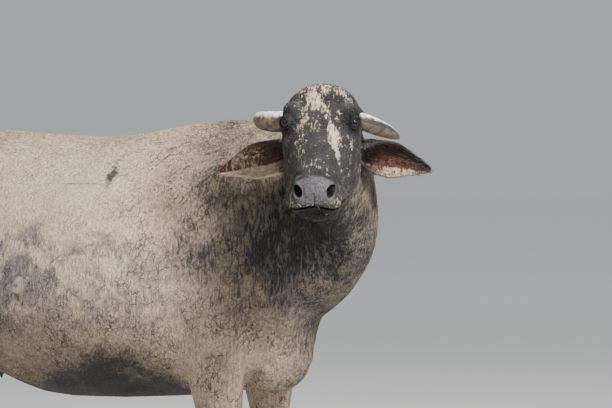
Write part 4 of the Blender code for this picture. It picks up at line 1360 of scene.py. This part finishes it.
def grow(name, roots, normals, ways, sizes, values, finish, lines, middles=1):
    """Closed three-sided tufts that taper to a point. Sizes hold length, width, lift and droop for each."""
    length, width, lift, droop = (np.asarray(size, float)[:, None] for size in sizes)
    side = np.cross(normals, ways)
    rings = []
    # Share of the length and of the width at the root, which is sunk into the skin, and further along
    shape = [(-0.04, 0.85)]
    for k in range(middles):
        shape.append(((k + 0.7) / (middles + 1), 1.0 - 0.35 * k / max(1, middles)))
    up = np.array((0, 0, 1.0))
    for t, thick in shape:
        raised = length * lift * (t - TUFT_ARCH * t * t) - ROOT_DEPTH * (t < 0)
        middle = roots + ways * length * t + normals * raised - up * droop * length * t * t
        half = side * width * thick / 2
        rings += [middle + half, middle - half, middle + normals * width * thick * TUFT_THICKNESS]
    tip = roots + ways * length + normals * length * lift * (1 - TUFT_ARCH) - up * droop * length
    per = len(rings) + 1
    points = np.stack([*rings, tip], axis=1).reshape(-1, 3)
    faces = [(0, 1, 2)]
    for k in range(middles):
        for i, j in ((0, 2), (2, 1), (1, 0)):
            low, high = 3 * k, 3 * k + 3
            faces += [(low + i, low + j, high + j), (low + i, high + j, high + i)]
    faces += [(3 * middles + i, 3 * middles + j, per - 1) for i, j in ((0, 2), (2, 1), (1, 0))]
    every = (np.arange(len(roots)) * per)[:, None, None] + np.array(faces)[None]
    every = every.reshape(-1, 3)
    mesh = mesh_of(name, points, every)
    set_attributes(mesh, {key: np.repeat(array, per) for key, array in values.items()})
    # A small patch of the map for each tuft, round its root's place
    place = unwrap(to_body(roots), lines)
    angle = np.arange(per) * 2.1
    ring = np.stack((np.cos(angle), np.sin(angle)), axis=1) * PATCH * 0.5
    spots = (place[:, None, :] + ring[None]).reshape(-1, 2)
    layer = mesh.uv_layers.new(name="OFBake")
    layer.data.foreach_set("uv", np.clip(spots[every.ravel()], 0.0005, 0.9995).astype(np.float32).ravel())
    mesh.shade_smooth()
    mesh.materials.append(finish)
    piece = show(mesh, name)
    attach(piece, "root")
    return piece


def coat_piece(skin, name, count, density, seed, shape, width, finish, lines, spread=0.16):
    """Short hair over one part of the skin. The shape gives the length and lift at each root."""
    roots, normals, values = skin.scatter(count, density, seed)
    draw = np.random.default_rng(seed + 1)
    ways = along_skin(lie(roots, normals), normals, draw, spread)
    values["shade"] = draw.random(count)
    length, lift = shape(roots, normals)
    length = length * draw.uniform(0.65, 1.3, count)
    widths = width * draw.uniform(0.7, 1.3, count)
    lift = lift * draw.uniform(0.6, 1.6, count)
    sizes = (length, widths, lift, np.zeros(count))
    return grow(name, roots, normals, ways, sizes, values, finish, lines)


def body_shape(_, normals):
    """Longer and looser along the back."""
    top = fade(-normals[:, 2], -0.92, -0.60)
    return 0.0085 + 0.0050 * top, 0.055 + 0.16 * top


def neck_shape(roots, _):
    """Longer under the throat."""
    under = fade(np.linalg.norm(to_body(roots) - (0.74, -0.18, 0.98), axis=1), 0.10, 0.30)
    return 0.0100 + 0.0060 * under, np.full(len(roots), 0.10)


def head_shape(roots, _):
    """Short on the face, longer on the poll, under the jaw and on the chin."""
    local = to_head(roots)
    poll = fade(local[:, 0], 0.06, 0.16)
    chin = fade(above_mouth(local), -0.040, -0.012) * fade(-local[:, 0], -0.34, -0.28)
    jaw = fade(local[:, 2], -0.17, -0.11) * (1 - chin)
    return 0.0050 + 0.0040 * poll + 0.0090 * chin + 0.0060 * jaw, 0.09 + 0.30 * chin + 0.06 * poll


def leg_shape(roots, _):
    """Shorter just over the hooves."""
    height = to_body(roots)[:, 2]
    return 0.0080 + 0.0050 * fade(height, 0.08, 0.16), 0.10 + 0.14 * fade(height, 0.08, 0.14)


def bare_places(skin):
    """1 where no hair grows: in the nostrils and the mouth, on the pad and on the lids' edges."""
    local = to_head(skin.points)
    bare = skin.named["moist"].copy()
    bare = np.maximum(bare, fade(np.abs(above_mouth(local) + 0.0018), 0.004, 0.007) * at_mouth(local))
    for side in (-1, 1):
        gap, reach = lid_gap(local, side)
        bare = np.maximum(bare, fade(nostril_reach(local, side), 1.2, 1.5))
        bare = np.maximum(bare, np.where(reach < 0.045, fade(-gap, 0.004, 0.009), 0))
    return np.clip(bare, 0, 1)


def make_coat(skin, finish):
    right = to_body(skin.points)[:, 1] < 0
    head = on_head(skin.points)
    ears = on_ears(to_head(skin.points), skin.normals)[0]
    with_ears = np.clip(head + ears, 0, 1)
    neck = (on_neck(skin.points) > 0.3) * (1 - head)
    limbs = on_limbs(skin.points) > 0.5
    grows = 1 - bare_places(skin)
    trunk = grows * ~limbs * (1 - neck) * (1 - with_ears)
    top = fade(-skin.normals[:, 2], -0.92, -0.60)
    trunk *= 0.45 + 1.1 * top + 0.35 * (1 - skin.named["mud"])
    necks = grows * neck * ~limbs * (1 - ears)
    legs = grows * limbs * (skin.points[:, 2] > COAT_LOWEST)
    trunk_lines = [LINES["trunk"]]
    head_lines = [head_line((-0.05, 0, -0.10), (0.50, 0, -0.10)), ear_line(-1), ear_line(1)]
    leg_lines = [LINES[name] for name in (*LEGS, "tail")]
    # Name, how many tufts, where, seed, shape, width, and the lines that their map is unrolled round
    for name, count, where, seed, shape, width, lines in (
        ("coat_flank_right", 17000, trunk * right, 201, body_shape, 0.0009, trunk_lines),
        ("coat_flank_left", 17000, trunk * ~right, 211, body_shape, 0.0009, trunk_lines),
        ("coat_neck", 17000, necks, 221, neck_shape, 0.0009, [LINES["neck"]]),
        ("coat_head", 15000, grows * with_ears, 231, head_shape, 0.0008, head_lines),
        ("coat_legs", 15000, legs, 241, leg_shape, 0.0009, leg_lines),
    ):
        coat_piece(skin, name, count, where, seed, shape, width, finish, lines)


def ear_line(side):
    ends = (EAR_BASE, EAR_BASE + EAR_OUT[side].normalized() * EAR_LENGTH)
    return head_line(*(mirrored(end, side) for end in ends))


def make_ear_hair(skin, finish):
    """Longer hair that fills the mouth of each ear and fringes its rim."""
    local = to_head(skin.points)
    ears, along, inner, lower = on_ears(local, skin.normals)
    rim = fade(-np.abs(lower), -0.95, -0.55)
    inside = inner * (0.35 + 0.9 * fade(along, 0.25, 0.60))
    density = ears * (inside + 0.9 * rim) * fade(along, 0.80, 1.02)
    roots, normals, values = skin.scatter(EAR_HAIRS, density, 301)
    draw = np.random.default_rng(302)
    place = to_head(roots)
    _, reach, _, low = on_ears(place, normals)
    across = np.outer(np.sign(low), HEAD_THERE[:3, 2]) * -0.35
    ways = along_skin(lie(roots, normals) + across, normals, draw, 0.16)
    count = EAR_HAIRS
    middle = fade(np.abs(reach - 0.50), 0.12, 0.30)
    right = place[:, 1] < 0
    # Hair in the middle of her left ear is darker than on her right, as painted shade over that ear
    shade = 0.02 + np.where(right, 0.42, 0.13) * middle
    shade += np.where(right, 0.85, 0.42) * np.clip(low - 0.05, 0, 1) * fade(np.abs(reach - 0.45), 0.25, 0.50)
    values["shade"] = np.clip(shade + draw.normal(size=count) * 0.13, 0, 1)
    # Length, width, lift and droop
    sizes = [draw.uniform(*limits, count) for limits in EAR_HAIR_SIZES]
    grow("ear_hair", roots, normals, ways, sizes, values, finish, [ear_line(-1), ear_line(1)], 2)


def make_whiskers(skin, finish):
    """Fine stiff hairs on the lips and chin, and a fringe under the jaw."""
    local = to_head(skin.points)
    over = above_mouth(local)
    lips = fade(-local[:, 0], -0.36, -0.30) * fade(np.abs(over), 0.045, 0.060)
    lips *= on_head(skin.points)
    sides = fade(-np.abs(local[:, 1]), -0.055, -0.035)
    density = lips * (0.15 + sides + 1.2 * (over < -0.012)) * (1 - bare_places(skin))
    roots, normals, values = skin.scatter(WHISKERS, density, 311)
    draw = np.random.default_rng(312)
    count = WHISKERS
    place = to_head(roots)
    low = above_mouth(place) < -0.006
    outward = np.outer(np.sign(place[:, 1]), HEAD_THERE[:3, 1]) * 0.8 + np.array((0, 0, -0.5))
    ways = along_skin(outward + HEAD_THERE[:3, 0] * 0.25, normals, draw, 0.30)
    # Hairs under the parting of the lips are darker, as painted shade under the mouth
    values["shade"] = np.where(low, draw.uniform(0.0, 0.50, count), draw.uniform(0.25, 0.85, count))
    length = np.where(low, draw.uniform(0.007, 0.015, count), draw.uniform(0.006, 0.016, count))
    width = draw.uniform(0.00025, 0.0004, count)
    lift = draw.uniform(0.4, 1.0, count)
    sizes = (length, width, lift, draw.uniform(0.0, 0.25, count))
    line = head_line((0.20, 0, -0.10), (0.50, 0, -0.10))
    grow("whiskers", roots, normals, ways, sizes, values, finish, [line], 2)


def make_lashes(finish):
    """Dark lashes along both lids of each eye."""
    roots, normals, ways, lengths = [], [], [], []
    draw = np.random.default_rng(321)
    for side in (-1, 1):
        axes = eye_axes(side)
        for rise, count, length in ((LID_RISE, 18, 0.0085), (-LID_DROP, 10, 0.0045)):
            for k in range(count):
                across = (2 * (k + 0.5) / count - 1) * 0.93 * LID_HALF_LENGTH
                up = rise * (1 - abs(across / LID_HALF_LENGTH) ** 2.1) + 0.0008 * math.copysign(1, rise)
                out = math.sqrt(max(0.0, (EYE_RADIUS + 0.0020) ** 2 - across**2 - up**2))
                spot = mirrored(EYE_PLACE, side) + across * axes[0] + up * axes[1] + out * axes[2]
                roots.append(from_head(spot[None])[0])
                way = axes[2] * 0.9 + axes[1] * math.copysign(0.75, rise) + axes[0] * across * 22
                ways.append(HEAD_THERE[:3, :3] @ (way + draw.normal(size=3) * 0.08))
                normals.append(HEAD_THERE[:3, :3] @ axes[1] * math.copysign(1, rise))
                lengths.append(length * draw.uniform(0.75, 1.2))
    normals = np.array(normals)
    ways = along_skin(np.array(ways), normals, draw, 0.02)
    count = len(roots)
    sizes = (lengths, np.full(count, 0.00045), np.full(count, 0.20), np.full(count, 0.10))
    line = head_line((0.05, 0, -0.05), (0.25, 0, -0.05))
    black = {"shade": np.zeros(count)}
    grow("lashes", np.array(roots), normals, ways, sizes, black, finish, [line], 2)


def switch_core(finish, top):
    """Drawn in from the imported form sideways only, and run up into the tail, so that no gap shows."""
    core = show(NODES["tail_switch"].data.copy(), "switch_core")
    add_weld(core)
    apply_modifiers(core)
    points = points_of(core)
    raised = 0.010 * fade(top - points[:, 2], 0.002, 0.020)
    points -= normals_of(core) * (0.0045, 0.0045, 0)
    points[:, 2] += raised
    set_points(core, points)
    set_attributes(core.data, {"shade": np.full(len(points), 0.05)})
    finish_with(core, finish)
    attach(core, "root")
    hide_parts("tail_switch")
    return core


def make_switch(finish):
    """The tail's switch: a core under long hanging locks."""
    low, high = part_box("tail_switch")
    skin = Skin(switch_core(finish, high.z), {})
    height = (skin.points[:, 2] - low.z) / (high.z - low.z)
    count = SWITCH_LOCKS
    roots, normals, values = skin.scatter(count, np.where(height > 0.16, 1.0, 0.25), 331)
    draw = np.random.default_rng(332)
    # The locks hang, and are bowed out from the core sideways only
    normals = normals * (1, 1, 0) + draw.normal(size=(count, 3)) * (0.05, 0.05, 0)
    normals /= np.maximum(np.linalg.norm(normals, axis=1), 1e-6)[:, None]
    ways = along_skin(np.tile((0.0, 0.0, -1.0), (count, 1)), normals, draw, 0.07)
    room = np.maximum(0.012, (roots[:, 2] - low.z) * 0.97)
    length = np.minimum(draw.uniform(0.05, 0.10, count), room)
    values["shade"] = draw.random(count) ** 2 * 0.5
    sizes = (length, draw.uniform(0.0022, 0.0040, count), np.full(count, 0.035), np.zeros(count))
    x, y, _ = roots.mean(axis=0)
    line = [tuple(place) for place in to_body(np.array([(x, y, high.z), (x, y, low.z)]))]
    grow("switch_locks", roots, normals, ways, sizes, values, finish, [line], 3)


# Eyes


def eye_material():
    """Dark red-brown iris with a wide pupil, under a clear wet coat."""
    made, board, shader = new_material("eye")
    across = board.times(board.attribute("across"), 0.60)
    squares = (board.math("POWER", across, 2.0), board.math("POWER", board.attribute("up"), 2.0))
    pupil_reach = board.math("SQRT", board.add(*squares))
    reach = board.attribute("reach")
    fibre = board.noise(board.object_place(), 900.0, 2.0)
    iris = board.mix(board.range(fibre, 0.3, 0.7), (0.0050, 0.0020, 0.0014, 1), (0.0230, 0.0074, 0.0040, 1))
    iris = board.mix(board.range(reach, 0.55, 0.74), iris, (0.0020, 0.0014, 0.0013, 1))
    white = board.mix(board.range(fibre, 0.4, 0.8), (0.020, 0.010, 0.008, 1), (0.012, 0.005, 0.004, 1))
    colour = board.mix(board.range(reach, 0.76, 0.86), iris, white)
    colour = board.mix(board.range(pupil_reach, 0.19, 0.25, 1.0, 0.0), colour, (0.0015, 0.0012, 0.0012, 1))
    board.fill(shader, {"Base Color": colour, "Roughness": 0.35, "Specular IOR Level": 0.05})
    board.fill(shader, {"Coat Weight": 0.60, "Coat Roughness": 0.03})
    return made


def gaze_axes(side):
    """The axes of the iris, which is turned further forward than the opening of the lids."""
    return facing_axes(Vector((0.79, side * 0.50, 0.32)), Vector((0.60, -side * 0.80, -0.05)))


def make_eye(name, side, finish):
    deselect()
    place = HEAD @ Vector(mirrored(EYE_PLACE, side))
    radius = EYE_RADIUS * 0.995
    bpy.ops.mesh.primitive_uv_sphere_add(segments=48, ring_count=32, radius=radius, location=(0, 0, 0))
    eye = bpy.context.object
    eye.name = name + "_ball"
    axes = np.array([HEAD_THERE[:3, :3] @ row for row in gaze_axes(side)])
    points = points_of(eye) / EYE_RADIUS
    reach = np.hypot(points[:, 0], points[:, 1]) + (points[:, 2] < 0) * 2
    # The clear front stands a little proud of the ball
    points *= (1 + 0.055 * fade(np.where(points[:, 2] > 0, reach, FAR_OFF), 0.10, 0.62))[:, None]
    set_attributes(eye.data, {"across": points[:, 0], "up": points[:, 1], "reach": reach})
    set_points(eye, points * EYE_RADIUS @ axes + np.array(place))
    finish_with(eye, finish)
    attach(eye, "root")
    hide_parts(name)


# Horns


def horn_material():
    """Pale cream where it faces up, tan and grey where it faces down, ringed, with a blue-black streak and
    tip.
    """
    made, board, shader = new_material("horn")
    place = board.object_place()
    mottled = board.noise(place, 60.0, 5.0, 0.6)
    fine = board.noise(place, 260.0, 4.0, 0.6)
    spread = board.range(mottled, 0.35, 0.65)
    cream = board.mix(spread, (0.50, 0.43, 0.32, 1), (0.72, 0.66, 0.55, 1))
    below = board.mix(spread, (0.020, 0.015, 0.010, 1), (0.150, 0.105, 0.060, 1))
    top = board.add(board.attribute("top"), board.swing(mottled, 0.5))
    colour = board.mix(board.range(top, 0.12, 0.45), below, cream)
    rings = board.math("SINE", board.times(board.attribute("along"), 92.0))
    grime = board.times(board.range(rings, -1.0, -0.1, 0.34, 0.0), board.range(fine, 0.3, 0.7, 0.2, 1.0))
    colour = board.mix(grime, colour, (0.055, 0.047, 0.036, 1))
    dark = board.add(board.attribute("streak"), board.swing(mottled, 0.7))
    colour = board.mix(board.times(board.range(dark, 0.45, 0.62), 0.9), colour, (0.016, 0.018, 0.026, 1))
    board.fill(shader, {"Base Color": colour, "Roughness": board.range(mottled, 0.3, 0.7, 0.45, 0.65)})
    add_bump(board, shader, board.add(board.times(rings, 0.25), board.times(fine, 0.35)), 0.6, 0.0015)
    return made


HORN_SIDES = 40


def horn_rings(side):
    """Points in rings along a horn, with how far along each is, how far up it faces and its dark streak."""
    rows = smooth_rows(HORN_ROWS[side], 14)
    centres = [Vector(mirrored(row, side)) for row in rows]
    points = []
    values = {"along": [], "top": [], "streak": []}
    run = 0.0
    for k, row in enumerate(rows):
        along = (centres[min(k + 1, len(rows) - 1)] - centres[max(k - 1, 0)]).normalized()
        broad = Vector((0.55, 0, 0.83))
        broad = (broad - along * broad.dot(along)).normalized()
        thin = along.cross(broad)
        run += (centres[k] - centres[k - 1]).length if k else 0.0
        share = k / (len(rows) - 1)
        swell = 1 + 0.018 * math.sin(run * 440) * (1 - share) ** 0.5 + 0.012 * math.sin(run * 173 + 1)
        for j in range(HORN_SIDES):
            angle = math.tau * j / HORN_SIDES
            out = (broad * math.cos(angle) * row[3] + thin * math.sin(angle) * row[4]) * swell
            points.append(HEAD @ (centres[k] + out))
            rise = (HEAD_THERE[:3, :3] @ np.array(out.normalized()))[2]
            streak = 1.25 * math.exp(-(((angle - 0.42) / 0.34) ** 2)) if side > 0 else 0.0
            tip = 0.75 * max(0.0, (share - 0.80) / 0.2) ** 2 if side < 0 else 0.0
            values["along"].append(run / 0.17)
            values["top"].append(rise - 0.15 + (0.02 if side > 0 else 0.0))
            values["streak"].append(max(streak * min(1.0, 4 * share) * (1 - 0.3 * share), tip))
    return points, values


def make_horn(name, side, finish):
    """A short flattened horn that sweeps out, back and down, with its rings raised."""
    points, values = horn_rings(side)
    faces = []
    for low in range(0, len(points) - HORN_SIDES, HORN_SIDES):
        high = low + HORN_SIDES
        for j in range(HORN_SIDES):
            n = (j + 1) % HORN_SIDES
            faces.append((low + j, low + n, high + n, high + j))
    mesh = mesh_of(name + "_sheath", points, faces)
    set_attributes(mesh, values)
    horn = show(mesh, name + "_sheath")
    bm = bmesh.new()
    bm.from_mesh(mesh)
    bm.verts.ensure_lookup_table()
    bmesh.ops.contextual_create(bm, geom=bm.verts[:HORN_SIDES])
    bmesh.ops.contextual_create(bm, geom=bm.verts[-HORN_SIDES:])
    bmesh.ops.recalc_face_normals(bm, faces=bm.faces)
    bm.to_mesh(mesh)
    bm.free()
    finish_with(horn, finish)
    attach(horn, "root")
    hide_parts(name)


# Hooves


def claw_material():
    made, board, shader = new_material("hoof")
    place = board.object_place()
    mottled = board.noise(place, 70.0, 5.0, 0.6)
    lines = board.noise(board.scaled(place, (0.2, 0.2, 1.0)), 420.0, 3.0)
    dusty = board.range(board.add(mottled, board.times(lines, 0.4)), 0.55, 0.85)
    colour = board.mix(board.range(mottled, 0.3, 0.7), (0.020, 0.017, 0.015, 1), (0.075, 0.062, 0.050, 1))
    colour = board.mix(dusty, colour, (0.26, 0.22, 0.165, 1))
    board.fill(shader, {"Base Color": colour, "Roughness": board.range(dusty, 0.0, 1.0, 0.5, 0.85)})
    add_bump(board, shader, lines, 0.5, 0.0012)
    return made


def make_claw(name, finish):
    """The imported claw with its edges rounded."""
    claw = show(NODES[name].data.copy(), name + "_horn")
    add_weld(claw)
    add_bevel(claw, 0.0028, 3, 38)
    apply_modifiers(claw)
    finish_with(claw, finish)
    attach(claw, "root")
    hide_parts(name)


# Studio


# Lamps round the model: azimuth and height in degrees, distance, size and power
LAMPS = {
    "key": (58, 40, 6.0, 1.4, 960),
    "catch": (84, 24, 5.0, 2.4, 60),
    "fill": (-35, 30, 6.5, 3.5, 90),
    "rim": (200, 50, 6.0, 2.5, 160),
}
LAMPS_AIM = Vector((0, 0, 0.9))
FLOOR_RADIUS = 40


def make_floor():
    """A pale disc that grows paler far off, so that no horizon shows."""
    deselect()
    bpy.ops.mesh.primitive_circle_add(
        vertices=96, radius=FLOOR_RADIUS, fill_type="NGON", location=(0, 0, -0.0005)
    )
    floor = bpy.context.object
    floor.name = "floor"
    made, board, shader = new_material("pale floor")
    far = board.vector("LENGTH", board.object_place()).outputs["Value"]
    pale = board.mix(board.range(far, 3.5, 15.0), (0.60, 0.60, 0.585, 1), (0.97, 0.97, 0.97, 1))
    board.fill(shader, {"Base Color": pale, "Roughness": 1.0, "Specular IOR Level": 0.0})
    floor.data.materials.append(made)


def make_studio():
    make_floor()
    world = bpy.data.worlds.new("studio")
    bpy.context.scene.world = world
    world.use_nodes = True
    back = world.node_tree.nodes["Background"]
    back.inputs["Color"].default_value = (0.88, 0.90, 0.92, 1)
    back.inputs["Strength"].default_value = 0.50
    for name, settings in LAMPS.items():
        add_light(name, *settings)


def add_light(name, azimuth, elevation, distance, size, power):
    light = bpy.data.lights.new(name, "AREA")
    light.shape = "DISK"
    light.size = size
    light.energy = power
    lamp = show(light, name)
    way = toward(math.radians(azimuth), math.radians(elevation))
    lamp.location = LAMPS_AIM + way * distance
    lamp.rotation_euler = way.to_track_quat("Z", "Y").to_euler()


def make_camera():
    data = bpy.data.cameras.new("camera")
    data.lens = LENS
    data.sensor_width = SENSOR
    data.clip_end = 200
    camera = show(data, "camera")
    way = toward(CAMERA_AZIMUTH, CAMERA_ELEVATION)
    camera.location = CAMERA_AIM + SHIFT + way * CAMERA_DISTANCE
    camera.rotation_euler = way.to_track_quat("Z", "Y").to_euler()
    bpy.context.scene.camera = camera


def dress_hide(tree):
    hide = make_hide()
    named = markings(points_of(hide), normals_of(hide))
    set_attributes(hide.data, named)
    finish_with(hide, hide_material(tree))
    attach(hide, "root")
    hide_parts(*FLESH, *EARS)
    return Skin(hide, named)


def main():
    make_camera()
    make_studio()
    tree = hide_pattern()
    skin = dress_hide(tree)
    make_coat(skin, coat_material(tree))
    long_hair = long_hair_material()
    make_ear_hair(skin, long_hair)
    make_whiskers(skin, long_hair)
    make_lashes(long_hair)
    make_switch(long_hair)
    eye_finish = eye_material()
    make_eye("eye_left", 1, eye_finish)
    make_eye("eye_right", -1, eye_finish)
    horn_finish = horn_material()
    make_horn("horn_left", 1, horn_finish)
    make_horn("horn_right", -1, horn_finish)
    claw_finish = claw_material()
    for name in CLAWS:
        make_claw(name, claw_finish)


main()
